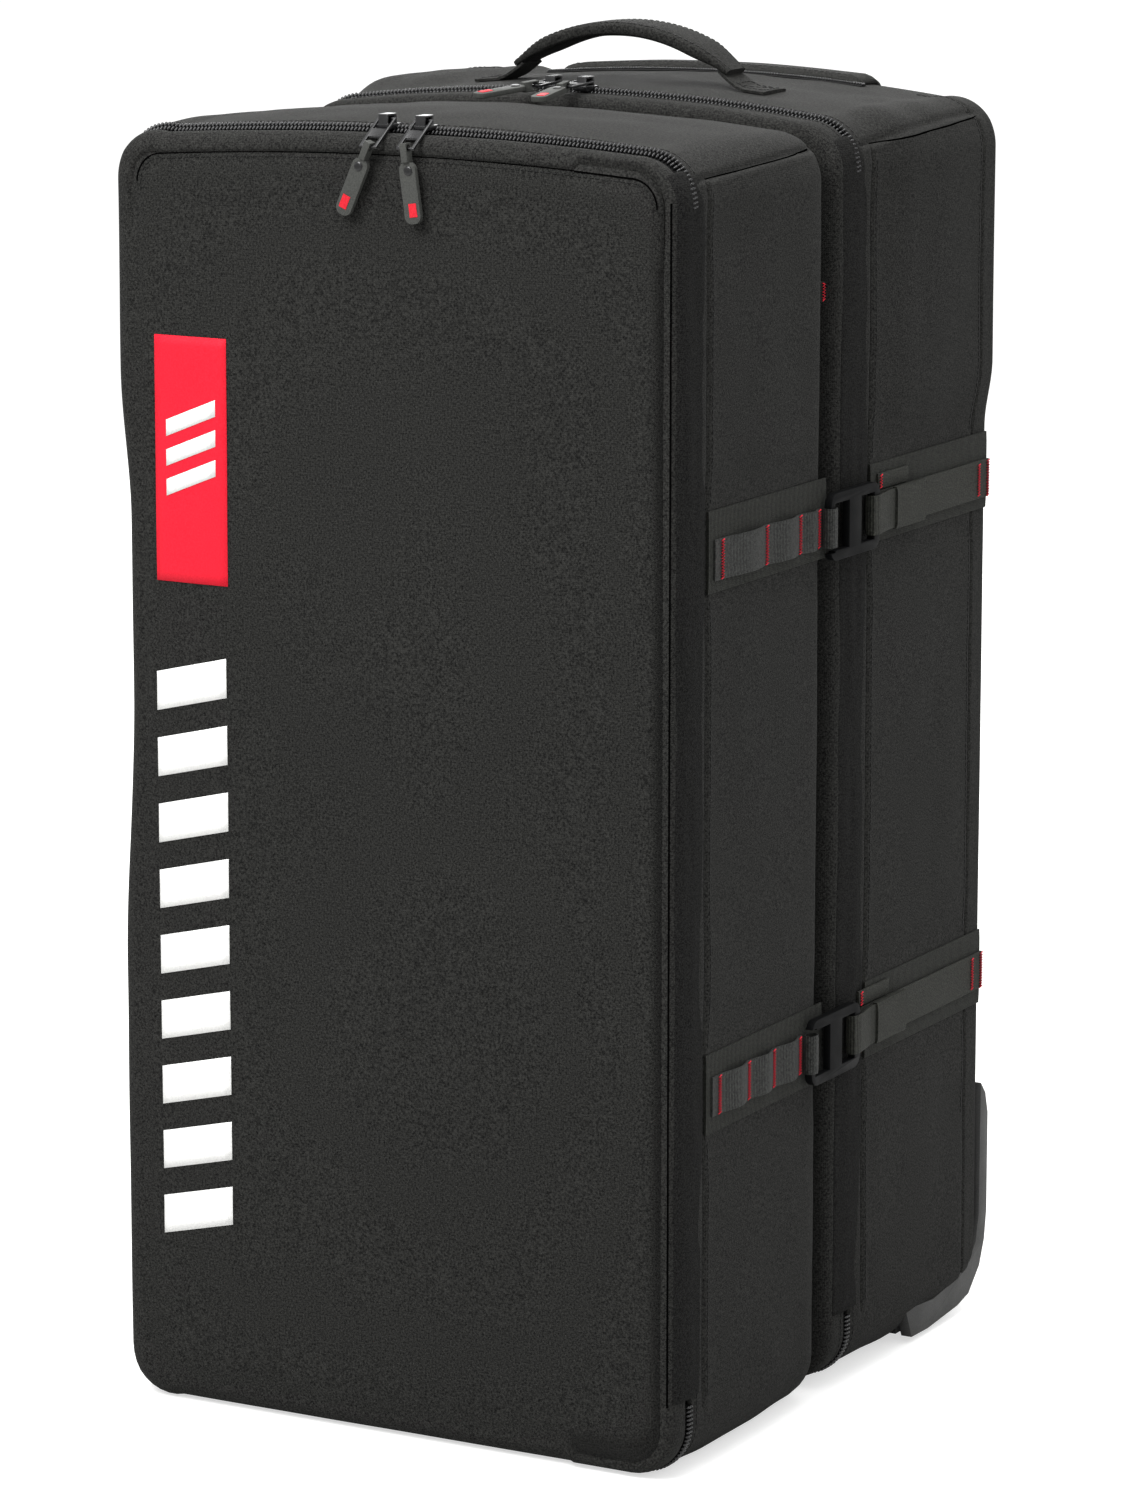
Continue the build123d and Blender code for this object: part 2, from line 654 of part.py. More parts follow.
def wheel_housing(side):
    """Two side plates joined by an arch over the wheel, a top wall and a front wall."""
    inner = HOUSING_IN_X * side
    outer = HOUSING_OUT_X * side
    x0, x1 = sorted((inner, outer))
    corner = [
        (HOUSING_FRONT, 6.0),
        (HOUSING_FRONT, HOUSING_TOP),
        (BACK_FACE, HOUSING_TOP),
        (BACK_FACE, 48.0),
        (416.0, 14.0),
        (392.0, 6.0),
    ]
    with BuildSketch(wheel_plane(x0)) as plate:
        with BuildLine():
            Polyline(*[(at_depth(d), z) for d, z in corner], close=True)
        make_face()
    extrude(plate.sketch, amount=x1 - x0, dir=(1, 0, 0))
    disc(x0 + HOUSING_WALL, x1 - HOUSING_WALL, ARCH_R, mode=Mode.SUBTRACT)
    block(
        (x0 + HOUSING_WALL, x1 - HOUSING_WALL),
        (WHEEL_DEPTH, GUARD_FACE),
        (-1, WHEEL_R + 30),
        mode=Mode.SUBTRACT,
    )
    block(
        (x0 + HOUSING_WALL, x1 - HOUSING_WALL),
        (WHEEL_DEPTH - ARCH_R, GUARD_FACE),
        (-1, WHEEL_R),
        mode=Mode.SUBTRACT,
    )
    block(
        (x0 + HOUSING_WALL, x1 - HOUSING_WALL),
        (HOUSING_FRONT + HOUSING_WALL, BACK_FACE - HOUSING_WALL),
        (WHEEL_R + ARCH_R + HOUSING_WALL, HOUSING_TOP - HOUSING_WALL),
        mode=Mode.SUBTRACT,
    )
    disc(x0 - 1, x1 + 1, AXLE_R + 0.1, mode=Mode.SUBTRACT)


def corner_guard(side):
    """Moulded guard outside the housing: a strip up the back edge and a skid below."""
    x0, x1 = sorted((side * (HOUSING_OUT_X + 0.2), side * HALF_WIDTH))
    y = at_depth
    with BuildSketch(wheel_plane(x0)) as edge_strip:
        with BuildLine():
            Polyline(
                (y(320), 21), (y(328), 3), (y(352), 2.5), (y(397), 6), (y(414), 10), (y(430), 25),
                (y(437), 41), (y(440), 60), (y(440), 126), (y(436), 140), (y(429), 148), (y(428.2), 60),
                (y(424), 42), (y(412), 30), (y(392), 24), (y(360), 20), (y(334), 22), close=True,
            )
        make_face()
    extrude(edge_strip.sketch, amount=x1 - x0, dir=(1, 0, 0))
    x0, x1 = sorted((side * 150.0, side * (HOUSING_OUT_X + 0.2)))
    block((x0, x1), (428.3, GUARD_FACE), (72, 126))


def hub(side):
    """Wheel hub with five openings between its spokes and a bore for the axle."""
    x = side * WHEEL_X
    disc(x - TYRE_WIDTH / 2, x + TYRE_WIDTH / 2, HUB_R)
    disc(x - HUB_WIDTH / 2, x + HUB_WIDTH / 2, 9)
    disc(x - HUB_WIDTH, x + HUB_WIDTH, AXLE_R + AXLE_CLEAR, mode=Mode.SUBTRACT)
    with BuildSketch(wheel_plane(x - HUB_WIDTH)) as windows:
        with Locations(WHEEL_AT):
            with PolarLocations(18, 5):
                Circle(6)
    extrude(windows.sketch, amount=2 * HUB_WIDTH, dir=(1, 0, 0), mode=Mode.SUBTRACT)


def tyre(side):
    """Rubber tyre with rounded shoulders."""
    x = side * WHEEL_X
    disc(x - TYRE_WIDTH / 2, x + TYRE_WIDTH / 2, WHEEL_R)
    shoulders = edges().filter_by(GeomType.CIRCLE)
    fillet(shoulders, radius=3)
    disc(x - TYRE_WIDTH, x + TYRE_WIDTH, TYRE_IN_R, mode=Mode.SUBTRACT)


for side, word in ((1, "right"), (-1, "left")):
    with BuildPart() as housing_part:
        wheel_housing(side)
    save(housing_part, "wheel_housing_" + word)
    with BuildPart() as guard_part:
        corner_guard(side)
    save(guard_part, "corner_guard_" + word)
    with BuildPart() as hub_part:
        hub(side)
    save(hub_part, "hub_" + word)
    with BuildPart() as tyre_part:
        tyre(side)
    save(tyre_part, "tyre_" + word)

with BuildPart() as wheel_axles:
    for side in (-1, 1):
        x0, x1 = sorted((side * (HOUSING_IN_X - 0.5), side * (HOUSING_OUT_X + 0.1)))
        disc(x0, x1, AXLE_R)
        head = sorted((side * (HOUSING_IN_X - 0.3), side * (HOUSING_IN_X - 3.5)))
        disc(head[0], head[1], AXLE_HEAD_R)
save(wheel_axles, "wheel_axles")
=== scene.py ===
import bpy
import bmesh
import math
import numpy as np
from mathutils import Matrix, Vector, noise
from mathutils.bvhtree import BVHTree


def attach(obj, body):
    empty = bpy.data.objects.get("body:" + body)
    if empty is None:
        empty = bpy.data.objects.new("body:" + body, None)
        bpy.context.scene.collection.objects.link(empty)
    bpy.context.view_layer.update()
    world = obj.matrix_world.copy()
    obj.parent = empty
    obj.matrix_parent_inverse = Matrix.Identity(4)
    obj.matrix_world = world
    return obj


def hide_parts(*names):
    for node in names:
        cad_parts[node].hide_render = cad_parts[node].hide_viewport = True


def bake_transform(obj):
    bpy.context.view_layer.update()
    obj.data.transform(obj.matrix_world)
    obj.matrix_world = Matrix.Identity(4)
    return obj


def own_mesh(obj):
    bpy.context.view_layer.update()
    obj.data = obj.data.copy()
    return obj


# A wheeled snowboard bag: padded woven shells sewn from panels, coil zips, webbing straps
# with flat hooks, and a moulded wheel corner. Sizes are worked out in millimetres, depth
# being counted from the front face of the lid, and turned into metres when a mesh is made.

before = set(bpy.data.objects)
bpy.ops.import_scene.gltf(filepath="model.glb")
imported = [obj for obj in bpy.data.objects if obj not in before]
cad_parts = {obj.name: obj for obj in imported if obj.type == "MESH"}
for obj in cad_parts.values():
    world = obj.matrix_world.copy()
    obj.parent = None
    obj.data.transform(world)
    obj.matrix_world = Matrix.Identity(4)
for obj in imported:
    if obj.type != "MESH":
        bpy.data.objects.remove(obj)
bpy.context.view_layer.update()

DEPTH_CENTRE = 215.0                # depth of the origin behind the lid's face
HALF_WIDTH = 188.5
CORNER_R = 30.0
FLAT_HALF = HALF_WIDTH - CORNER_R
FRONT_SHAPE = (0.0, 784.0, 790.0)   # base, top at the corners, top of the crown
REAR_SHAPE = (3.0, 787.0, 797.0)
FRONT_ZIP, MID_ZIP = 20.0, 232.0    # depths of the two zips
FRONT_SEAM, REAR_SEAM, CORNER_SEAM = 37.0, 251.5, 401.0   # depths of the seams on the side walls
COVER_HALF = 108.0


# ---------------------------------------------------------------- materials

def colour(text):
    """sRGB hex to linear."""
    rgb = [int(text[i:i + 2], 16) / 255 for i in (1, 3, 5)]
    return tuple(c / 12.92 if c <= 0.04045 else ((c + 0.055) / 1.055) ** 2.4 for c in rgb) + (1.0,)


def add(tree, kind, values={}, links={}):
    """Add a node, set its properties and sockets, and link its inputs."""
    node = tree.nodes.new(kind)
    for key, value in values.items():
        if isinstance(key, str) and hasattr(node, key):
            setattr(node, key, value)
        else:
            node.inputs[key].default_value = value
    for key, source in links.items():
        tree.links.new(source, node.inputs[key])
    return node


def new_material(name, **surface):
    """A material with its shader's constant sockets set; returns it, its tree and the shader."""
    material = bpy.data.materials.new(name)
    material.use_nodes = True
    tree = material.node_tree
    shader = tree.nodes["Principled BSDF"]
    for key, value in surface.items():
        shader.inputs[key.replace("_", " ")].default_value = value
    return material, tree, shader


def speckle(tree, coords, scale, low, high, detail=2.0, at=(0.35, 0.65)):
    """Two colours mixed by a noise of a given scale per metre."""
    grain = add(tree, "ShaderNodeTexNoise", {"Scale": scale, "Detail": detail, "Roughness": 0.6},
                {"Vector": coords})
    ramp = add(tree, "ShaderNodeValToRGB", links={"Fac": grain.outputs["Fac"]})
    ramp.color_ramp.elements[0].position = at[0]
    ramp.color_ramp.elements[1].position = at[1]
    ramp.color_ramp.elements[0].color = colour(low)
    ramp.color_ramp.elements[1].color = colour(high)
    return grain, ramp


def woven_cloth(name, low, high, fade_low, thread_mm=1.2, sheen=0.25, rough=0.86):
    """Polyester in plain weave: matt, with fine pale flecks where yarns cross. A 600D yarn is
    about 0.6 mm wide; it is drawn near 1.2 mm so that the weave still shows."""
    material, tree, shader = new_material(name, Roughness=rough, Sheen_Weight=sheen,
                                          Sheen_Roughness=0.5, Specular_IOR_Level=0.1)
    place = add(tree, "ShaderNodeTexCoord")
    flecks, cloth = speckle(tree, place.outputs["Object"], 850.0, low, high, 3.0, (0.32, 0.7))
    fade = add(tree, "ShaderNodeTexNoise", {"Scale": 5.0, "Detail": 3.0},
               {"Vector": place.outputs["Object"]})
    worn = add(tree, "ShaderNodeMapRange", {"From Min": 0.3, "From Max": 0.7, "To Min": 0.0, "To Max": 0.12},
               {"Value": fade.outputs["Fac"]})
    mix = add(tree, "ShaderNodeMix", {"data_type": "RGBA", 7: colour(fade_low)},
              {0: worn.outputs[0], 6: cloth.outputs["Color"]})
    tree.links.new(mix.outputs[2], shader.inputs["Base Color"])
    warp = add(tree, "ShaderNodeTexWave", {"Scale": 314.0 / thread_mm, "Distortion": 0.6, "Detail": 1.0},
               {"Vector": place.outputs["UV"]})
    weft = add(tree, "ShaderNodeTexWave", {"bands_direction": "Y", "Scale": 314.0 / thread_mm,
                                           "Distortion": 0.6, "Detail": 1.0},
               {"Vector": place.outputs["UV"]})
    weave = add(tree, "ShaderNodeMath", {"operation": "MULTIPLY"},
                {0: warp.outputs["Fac"], 1: weft.outputs["Fac"]})
    height = add(tree, "ShaderNodeMath", {"operation": "ADD"},
                 {0: weave.outputs[0], 1: flecks.outputs["Fac"]})
    bump = add(tree, "ShaderNodeBump", {"Strength": 0.45, "Distance": 0.0004}, {"Height": height.outputs[0]})
    tree.links.new(bump.outputs["Normal"], shader.inputs["Normal"])
    return material


def ribbed_webbing(name, low, high, rib_mm, rough, sheen):
    """Polyester webbing: ribs across the strap and a soft lustre on the yarn."""
    material, tree, shader = new_material(name, Roughness=rough, Sheen_Weight=sheen,
                                          Sheen_Roughness=0.4, Specular_IOR_Level=0.16)
    place = add(tree, "ShaderNodeTexCoord")
    ribs = add(tree, "ShaderNodeTexWave", {"Scale": 314.0 / rib_mm, "Distortion": 0.4, "Detail": 1.0},
               {"Vector": place.outputs["UV"]})
    yarn = add(tree, "ShaderNodeTexWave", {"bands_direction": "Y", "Scale": 314.0 / 1.1, "Distortion": 1.0},
               {"Vector": place.outputs["UV"]})
    _, cloth = speckle(tree, place.outputs["Object"], 700.0, low, high, 3.0)
    # The wave that raises the ribs also darkens the colour in their grooves and lightens it on their crests: painted
    # shade and light of the ribs.
    shade = add(tree, "ShaderNodeMapRange", {"To Min": 0.72, "To Max": 1.1}, {"Value": ribs.outputs["Fac"]})
    painted_rib_shade = add(tree, "ShaderNodeMix", {"data_type": "RGBA", "blend_type": "MULTIPLY", 0: 1.0},
               {6: cloth.outputs["Color"], 7: shade.outputs[0]})
    tree.links.new(painted_rib_shade.outputs[2], shader.inputs["Base Color"])
    height = add(tree, "ShaderNodeMath", {"operation": "MULTIPLY_ADD", 1: 0.35},
                 {0: yarn.outputs["Fac"], 2: ribs.outputs["Fac"]})
    bump = add(tree, "ShaderNodeBump", {"Strength": 0.6, "Distance": 0.0005}, {"Height": height.outputs[0]})
    tree.links.new(bump.outputs["Normal"], shader.inputs["Normal"])
    return material


def grained(name, low, high, grain_mm, depth_mm, at=(0.3, 0.7), **surface):
    """Moulded or painted surface: a fine grain in colour and relief, of a size in mm."""
    material, tree, shader = new_material(name, **surface)
    place = add(tree, "ShaderNodeTexCoord")
    grain, tone = speckle(tree, place.outputs["Object"], 1000.0 / grain_mm, low, high, 3.0, at)
    scuffs = add(tree, "ShaderNodeTexNoise", {"Scale": 40.0, "Detail": 4.0}, {"Vector": place.outputs["Object"]})
    dull = add(tree, "ShaderNodeMapRange", {"From Min": 0.35, "From Max": 0.7,
                                            "To Min": surface.get("Roughness", 0.5) * 0.85,
                                            "To Max": min(1.0, surface.get("Roughness", 0.5) * 1.15)},
               {"Value": scuffs.outputs["Fac"]})
    tree.links.new(dull.outputs[0], shader.inputs["Roughness"])
    tree.links.new(tone.outputs["Color"], shader.inputs["Base Color"])
    bump = add(tree, "ShaderNodeBump", {"Strength": 0.5, "Distance": depth_mm / 1000.0},
               {"Height": grain.outputs["Fac"]})
    tree.links.new(bump.outputs["Normal"], shader.inputs["Normal"])
    return material


# Woven polyester: matt and near black, with paler flecks where the yarns cross
CLOTH = woven_cloth("black_600d_polyester", "#070707", "#353533", "#141414", 1.2, 0.02, 0.9)
# The hinge strips use the shell's cloth made darker: painted shade of their hollow folds.
SHADED_STRIP_CLOTH = woven_cloth("shaded_hinge_strip_polyester", "#060606", "#282827", "#101010", 1.2, 0.0, 0.95)
LINING = woven_cloth("grey_210d_lining", "#1b1c1c", "#2a2b2b", "#212222", 0.8, 0.05, 0.75)
TAPE = woven_cloth("zip_tape_twill", "#0a0a0a", "#1c1c1c", "#111111", 1.0, 0.05, 0.9)
# Polyester webbing: ribs across it and a soft lustre; the grey is the lightest of the textiles
BAND = ribbed_webbing("ribbed_backing_band", "#131412", "#2b2c27", 1.7, 0.8, 0.04)
STRAP = ribbed_webbing("dark_polyester_webbing", "#191a17", "#34352f", 1.5, 0.7, 0.04)
DAISY = ribbed_webbing("grey_polyester_webbing", "#191a19", "#3d3e3c", 1.5, 0.65, 0.05)
# Bonded thread, the nylon of the coils and enamelled zinc: small dark parts with small glints
THREAD = grained("red_bonded_thread", "#c4162c", "#f53549", 0.6, 0.2, Roughness=0.6, Specular_IOR_Level=0.2)
STITCH = grained("black_bonded_thread", "#060606", "#1c1c1b", 0.5, 0.2, Roughness=0.6, Specular_IOR_Level=0.2)
# Matt black cord laid in the seams: painted shade of the folds where panels are sewn.
SEAM_SHADE = grained("painted_seam_shadow", "#020202", "#060606", 0.8, 0.05, Roughness=1.0, Specular_IOR_Level=0.0)
COIL = grained("nylon_zip_coil", "#0b0b0c", "#1c1c1d", 0.5, 0.05, Roughness=0.28)
ENAMEL = grained("black_enamelled_zinc", "#0c0c0d", "#1a1a1b", 1.5, 0.05, Roughness=0.3)
# Powder coat, silicone and moulded ABS: a fine grain that scatters the light
HOOK = grained("powder_coated_steel", "#050506", "#0d0e0f", 0.8, 0.08, Roughness=0.55, Specular_IOR_Level=0.08)
RUBBER = grained("grey_silicone_puller", "#343533", "#464744", 0.9, 0.05, Roughness=0.65, Specular_IOR_Level=0.25)
RUBBER_MARK = grained("red_silicone_inlay", "#b81524", "#d42634", 0.9, 0.05, Roughness=0.55, Specular_IOR_Level=0.2)
GUARD = grained("grey_abs_guard", "#363636", "#494948", 0.8, 0.12, Roughness=0.55, Specular_IOR_Level=0.3)
HOUSING = grained("black_abs_moulding", "#0a0a0a", "#181818", 0.8, 0.12, Roughness=0.5, Specular_IOR_Level=0.3)
TYRE = grained("polyurethane_tyre", "#0c0c0c", "#1c1c1c", 1.0, 0.1, Roughness=0.75, Specular_IOR_Level=0.25)
HUB = grained("grey_nylon_hub", "#2c2c2c", "#404040", 0.8, 0.08, Roughness=0.5)
# Bare metal of the axles and tubes
STEEL = grained("turned_steel_pin", "#8b8b89", "#a8a8a6", 0.4, 0.02, Roughness=0.3, Metallic=1.0)
ALUMINIUM = grained("anodised_aluminium_tube", "#8f9193", "#a8aaac", 0.5, 0.02, Roughness=0.35, Metallic=1.0)
GRIP = grained("soft_touch_grip", "#151515", "#262626", 0.9, 0.15, Roughness=0.8)
BUTTON = grained("grey_abs_button", "#3a3b3c", "#4a4b4c", 0.8, 0.05, Roughness=0.4)
BOARD = grained("polypropylene_board", "#151515", "#242424", 1.2, 0.1, Roughness=0.55)
# Screen print: thick flat ink on the weave
RED_PRINT = grained("red_screen_print", "#d3152a", "#e02236", 1.1, 0.08, Roughness=0.7, Specular_IOR_Level=0.15)
WHITE_PRINT = grained("white_screen_print", "#e4e4e2", "#f6f6f4", 1.1, 0.08, Roughness=0.5)


# ---------------------------------------------------------------- meshes

def metres(points):
    """Points in (x, depth, z) millimetres to metres in the row frame."""
    p = np.asarray(points, float).reshape(-1, 3).copy()
    p[:, 1] -= DEPTH_CENTRE
    return p / 1000.0


def piece(name, points, faces, materials, uv=None, slots=None, smooth=True):
    """Mesh object from points in mm; uv is one (u, v) in metres for each face corner."""
    mesh = bpy.data.meshes.new(name)
    mesh.from_pydata(metres(points).tolist(), [], [tuple(int(i) for i in f) for f in faces])
    for material in materials:
        mesh.materials.append(material)
    if slots is not None:
        mesh.polygons.foreach_set("material_index", np.asarray(slots, np.int32))
    if uv is not None:
        layer = mesh.uv_layers.new(name="cloth")
        layer.data.foreach_set("uv", np.asarray(uv, np.float32).ravel())
    mesh.polygons.foreach_set("use_smooth", [smooth] * len(mesh.polygons))
    mesh.update()
    obj = bpy.data.objects.new(name, mesh)
    bpy.context.scene.collection.objects.link(obj)
    return obj


def finish_edges(obj, width_mm, segments=2, angle=35.0):
    """Round the hard edges of a piece and bake the result into its mesh."""
    bevel = obj.modifiers.new("round", "BEVEL")
    bevel.width = width_mm / 1000.0
    bevel.segments = segments
    bevel.limit_method = "ANGLE"
    bevel.angle_limit = math.radians(angle)
    bevel.harden_normals = False
    return bake(obj)


def bake(obj):
    """Replace a piece's mesh with its modified one and drop the modifiers."""
    graph = bpy.context.evaluated_depsgraph_get()
    graph.update()
    mesh = bpy.data.meshes.new_from_object(obj.evaluated_get(graph))
    obj.modifiers.clear()
    obj.data = mesh
    return obj


def from_frame(node, material, name, width_mm=0.6, segments=2):
    """A moulded or metal piece copied from its frame solid, with rounded edges."""
    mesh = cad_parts[node].data.copy()
    obj = bpy.data.objects.new(name, mesh)
    bpy.context.scene.collection.objects.link(obj)
    work = bmesh.new()
    work.from_mesh(mesh)
    bmesh.ops.remove_doubles(work, verts=work.verts, dist=1e-6)
    bmesh.ops.dissolve_limit(work, angle_limit=math.radians(1.0), verts=work.verts, edges=work.edges)
    work.to_mesh(mesh)
    work.free()
    mesh.materials.clear()
    mesh.materials.append(material)
    for polygon in mesh.polygons:
        polygon.use_smooth = False
    if width_mm:
        finish_edges(obj, width_mm, segments)
    smooth_by_angle(obj.data)
    return obj


def smooth_by_angle(mesh, angle=32.0):
    """Smooth shading, with edges sharper than the angle left hard."""
    work = bmesh.new()
    work.from_mesh(mesh)
    limit = math.radians(angle)
    for face in work.faces:
        face.smooth = True
    for edge in work.edges:
        edge.smooth = len(edge.link_faces) == 2 and edge.calc_face_angle(0.0) < limit
    work.to_mesh(mesh)
    work.free()


def settle(obj, body, slot_name, *nodes):
    """Hand a finished piece to its body and hide the solids it stands for; slot_name is not used."""
    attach(obj, body)
    if nodes:
        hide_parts(*nodes)
    return obj


# ---------------------------------------------------------------- the outline of a section

def runs(shape):
    """Straight runs and arcs of a section's outline, from the middle of its base towards +X."""
    base, side_top, crown = shape
    half, r, quarter = HALF_WIDTH, CORNER_R, math.pi / 2
    flat = half - r
    rise = crown - side_top
    crown_r = (flat * flat + rise * rise) / (2 * rise)
    spread = math.asin(flat / crown_r)
    return [
        ("line", (0, base), (flat, base)),
        ("arc", (flat, base + r), r, -quarter, 0.0),
        ("line", (half, base + r), (half, side_top - r)),
        ("arc", (flat, side_top - r), r, 0.0, quarter),
        ("arc", (0, crown - crown_r), crown_r, quarter - spread, quarter + spread),
        ("arc", (-flat, side_top - r), r, quarter, 2 * quarter),
        ("line", (-half, side_top - r), (-half, base + r)),
        ("arc", (-flat, base + r), r, 2 * quarter, 3 * quarter),
        ("line", (-flat, base), (0, base)),
    ]


def places(spacing):
    """Run number and share along it for every column of a loop round a section."""
    found = []
    for k, run in enumerate(runs(FRONT_SHAPE)):
        length = math.dist(run[1], run[2]) if run[0] == "line" else run[2] * abs(run[4] - run[3])
        count = max(2, round(length / (spacing if k not in (3, 5) else min(spacing, 1.7))))
        found += [(k, i / count) for i in range(count)]
    return found


def loop(shape, inset, where):
    """Points (x, z) and outward normals of the outline at the given columns, drawn in by inset."""
    parts = runs(shape)
    points, normals = [], []
    for k, t in where:
        run = parts[k]
        if run[0] == "line":
            a, b = np.array(run[1], float), np.array(run[2], float)
            d = (b - a) / np.linalg.norm(b - a)
            point, normal = a + (b - a) * t, np.array([d[1], -d[0]])
        else:
            turn = run[3] + (run[4] - run[3]) * t
            normal = np.array([math.cos(turn), math.sin(turn)])
            point = np.array(run[1], float) + run[2] * normal
        points.append(point - normal * inset)
        normals.append(normal)
    return np.array(points), np.array(normals)


def wander(points, size, seed=0.0):
    """Smooth noise, about -1 to 1, at points in mm, with features of a size."""
    scaled = np.asarray(points, float) / size + seed
    return np.array([noise.noise(Vector(p)) for p in scaled])


def groove(value, at, width, deep):
    """A narrow dip centred on a value."""
    return -deep * np.exp(-((value - at) / width) ** 2)


def window(value, low, high, fade):
    """1 between low and high, falling smoothly to 0 over fade outside them."""
    t = np.minimum(np.clip((value - low) / fade + 1, 0, 1), np.clip((high - value) / fade + 1, 0, 1))
    return t * t * (3 - 2 * t)


COLUMNS = places(5.5)


def wall(shape, profile, puff=None):
    """Rows of a skin that run round a section. profile lists (depth, inset, slot); puff gives
    how far each point stands out along the outline's normal."""
    rows = []
    for depth, inset, slot_number in profile:
        flat, normals = loop(shape, inset, COLUMNS)
        points = np.stack([flat[:, 0], np.full(len(flat), float(depth)), flat[:, 1]], 1)
        if puff is not None:
            out = puff(points)
            points[:, 0] += normals[:, 0] * out
            points[:, 2] += normals[:, 1] * out
        rows.append((points, slot_number, False))
    return rows


def face(shape, depth, inset, slot_number, steps, puff=None):
    """Rows that fill a section's outline at a depth, from its edge to near the centre."""
    flat, _ = loop(shape, inset, COLUMNS)
    centre = np.array([0.0, (shape[0] + shape[1]) / 2])
    rows = []
    for share in np.arange(steps) / steps:
        ring = centre + (flat - centre) * (1 - share)
        points = np.stack([ring[:, 0], np.full(len(ring), float(depth)), ring[:, 1]], 1)
        if puff is not None:
            points[:, 1] += puff(points)
        rows.append((points, slot_number, True))
    return rows


def skin(name, rows, materials):
    """Closed skin through rows of points that all have a column at the same places."""
    n = len(rows[0][0])
    points = [r[0] for r in rows]
    points.append(np.array([rows[0][0].mean(axis=0), rows[-1][0].mean(axis=0)]))
    middle = len(rows) * n
    faces, slots, uv = [], [], []
    around = np.concatenate([[0], np.cumsum(np.linalg.norm(
        np.roll(rows[len(rows) // 2][0], -1, 0) - rows[len(rows) // 2][0], axis=1))]) / 1000
    down = 0.0
    for r in range(len(rows) - 1):
        flat = rows[r][2] and rows[r + 1][2]
        step = float(np.linalg.norm(rows[r + 1][0] - rows[r][0], axis=1).mean()) / 1000
        for c in range(n):
            d = (c + 1) % n
            faces.append((r * n + c, r * n + d, (r + 1) * n + d, (r + 1) * n + c))
            slots.append(rows[r + 1][1] if not flat else rows[r][1])
            if flat:
                uv += [(rows[a][0][b][0] / 1000, rows[a][0][b][2] / 1000)
                       for a, b in ((r, c), (r, d), (r + 1, d), (r + 1, c))]
            else:
                uv += [(around[c], down), (around[c + 1], down),
                       (around[c + 1], down + step), (around[c], down + step)]
        down += step
    points = np.concatenate(points)
    for row, centre in ((0, middle), (len(rows) - 1, middle + 1)):
        for c in range(n):
            a, b = row * n + c, row * n + (c + 1) % n
            corner = (a, b, centre) if row else (b, a, centre)
            faces.append(corner)
            slots.append(rows[row][1])
            uv += [(points[i][0] / 1000, points[i][2] / 1000) for i in corner]
    obj = piece(name, points, faces, materials, uv, slots)
    outward(obj)
    return obj


def outward(obj):
    """Turn every face of a closed mesh outwards."""
    work = bmesh.new()
    work.from_mesh(obj.data)
    bmesh.ops.recalc_face_normals(work, faces=work.faces)
    work.to_mesh(obj.data)
    work.free()


def cut_out(obj, *solids):
    """Cut closed shapes out of a piece."""
    for solid in solids:
        cut = obj.modifiers.new("cut", "BOOLEAN")
        cut.operation = "DIFFERENCE"
        cut.solver = "EXACT"
        cut.object = solid
    bake(obj)
    for solid in solids:
        bpy.data.objects.remove(solid, do_unlink=True)


def prism(name, corners, x0, x1, material):
    """Solid with a polygon of (depth, z) corners between two X positions."""
    n = len(corners)
    points = [(x, d, z) for x in (x0, x1) for d, z in corners]
    faces = [tuple(range(n)), tuple(range(2 * n - 1, n - 1, -1))]
    faces += [(i, i + n, (i + 1) % n + n, (i + 1) % n) for i in range(n)]
    obj = piece(name, points, faces, [material], smooth=False)
    outward(obj)
    return obj


def ribbon(name, path, side, half, thick, material, sides=10):
    """Webbing or tape along a path in mm. side is the direction of its width; half may
    change along the path. The section is a flat rounded loop."""
    path = np.asarray(path, float)
    side = np.broadcast_to(np.asarray(side, float), path.shape)
    half = np.broadcast_to(np.asarray(half, float), len(path))
    thick = np.broadcast_to(np.asarray(thick, float), len(path))
    run = np.gradient(path, axis=0)
    run /= np.linalg.norm(run, axis=1)[:, None]
    up = np.cross(run, side)
    up /= np.linalg.norm(up, axis=1)[:, None]
    turns = (np.arange(sides) + 0.5) / sides * 2 * math.pi
    across = np.sign(np.cos(turns)) * np.abs(np.cos(turns)) ** 0.55
    above = np.sign(np.sin(turns)) * np.abs(np.sin(turns)) ** 0.45
    rings = (path[:, None, :] + side[:, None, :] * (across[None, :, None] * half[:, None, None])
             + up[:, None, :] * (above[None, :, None] * thick[:, None, None] / 2))
    along = np.concatenate([[0], np.cumsum(np.linalg.norm(np.diff(path, axis=0), axis=1))]) / 1000
    rows, faces, uv = len(path), [], []
    for r in range(rows - 1):
        for c in range(sides):
            d = (c + 1) % sides
            faces.append((r * sides + c, r * sides + d, (r + 1) * sides + d, (r + 1) * sides + c))
            wide = [across[i] * half[r] / 1000 for i in (c, d)]
            uv += [(along[r], wide[0]), (along[r], wide[1]), (along[r + 1], wide[1]), (along[r + 1], wide[0])]
    for r, order in ((0, range(sides - 1, -1, -1)), (rows - 1, range(sides))):
        faces.append(tuple(r * sides + c for c in order))
        uv += [(along[r], across[c] * half[r] / 1000) for c in order]
    obj = piece(name, rings.reshape(-1, 3), faces, [material], uv)
    outward(obj)
    smooth_by_angle(obj.data, 50.0)
    return obj


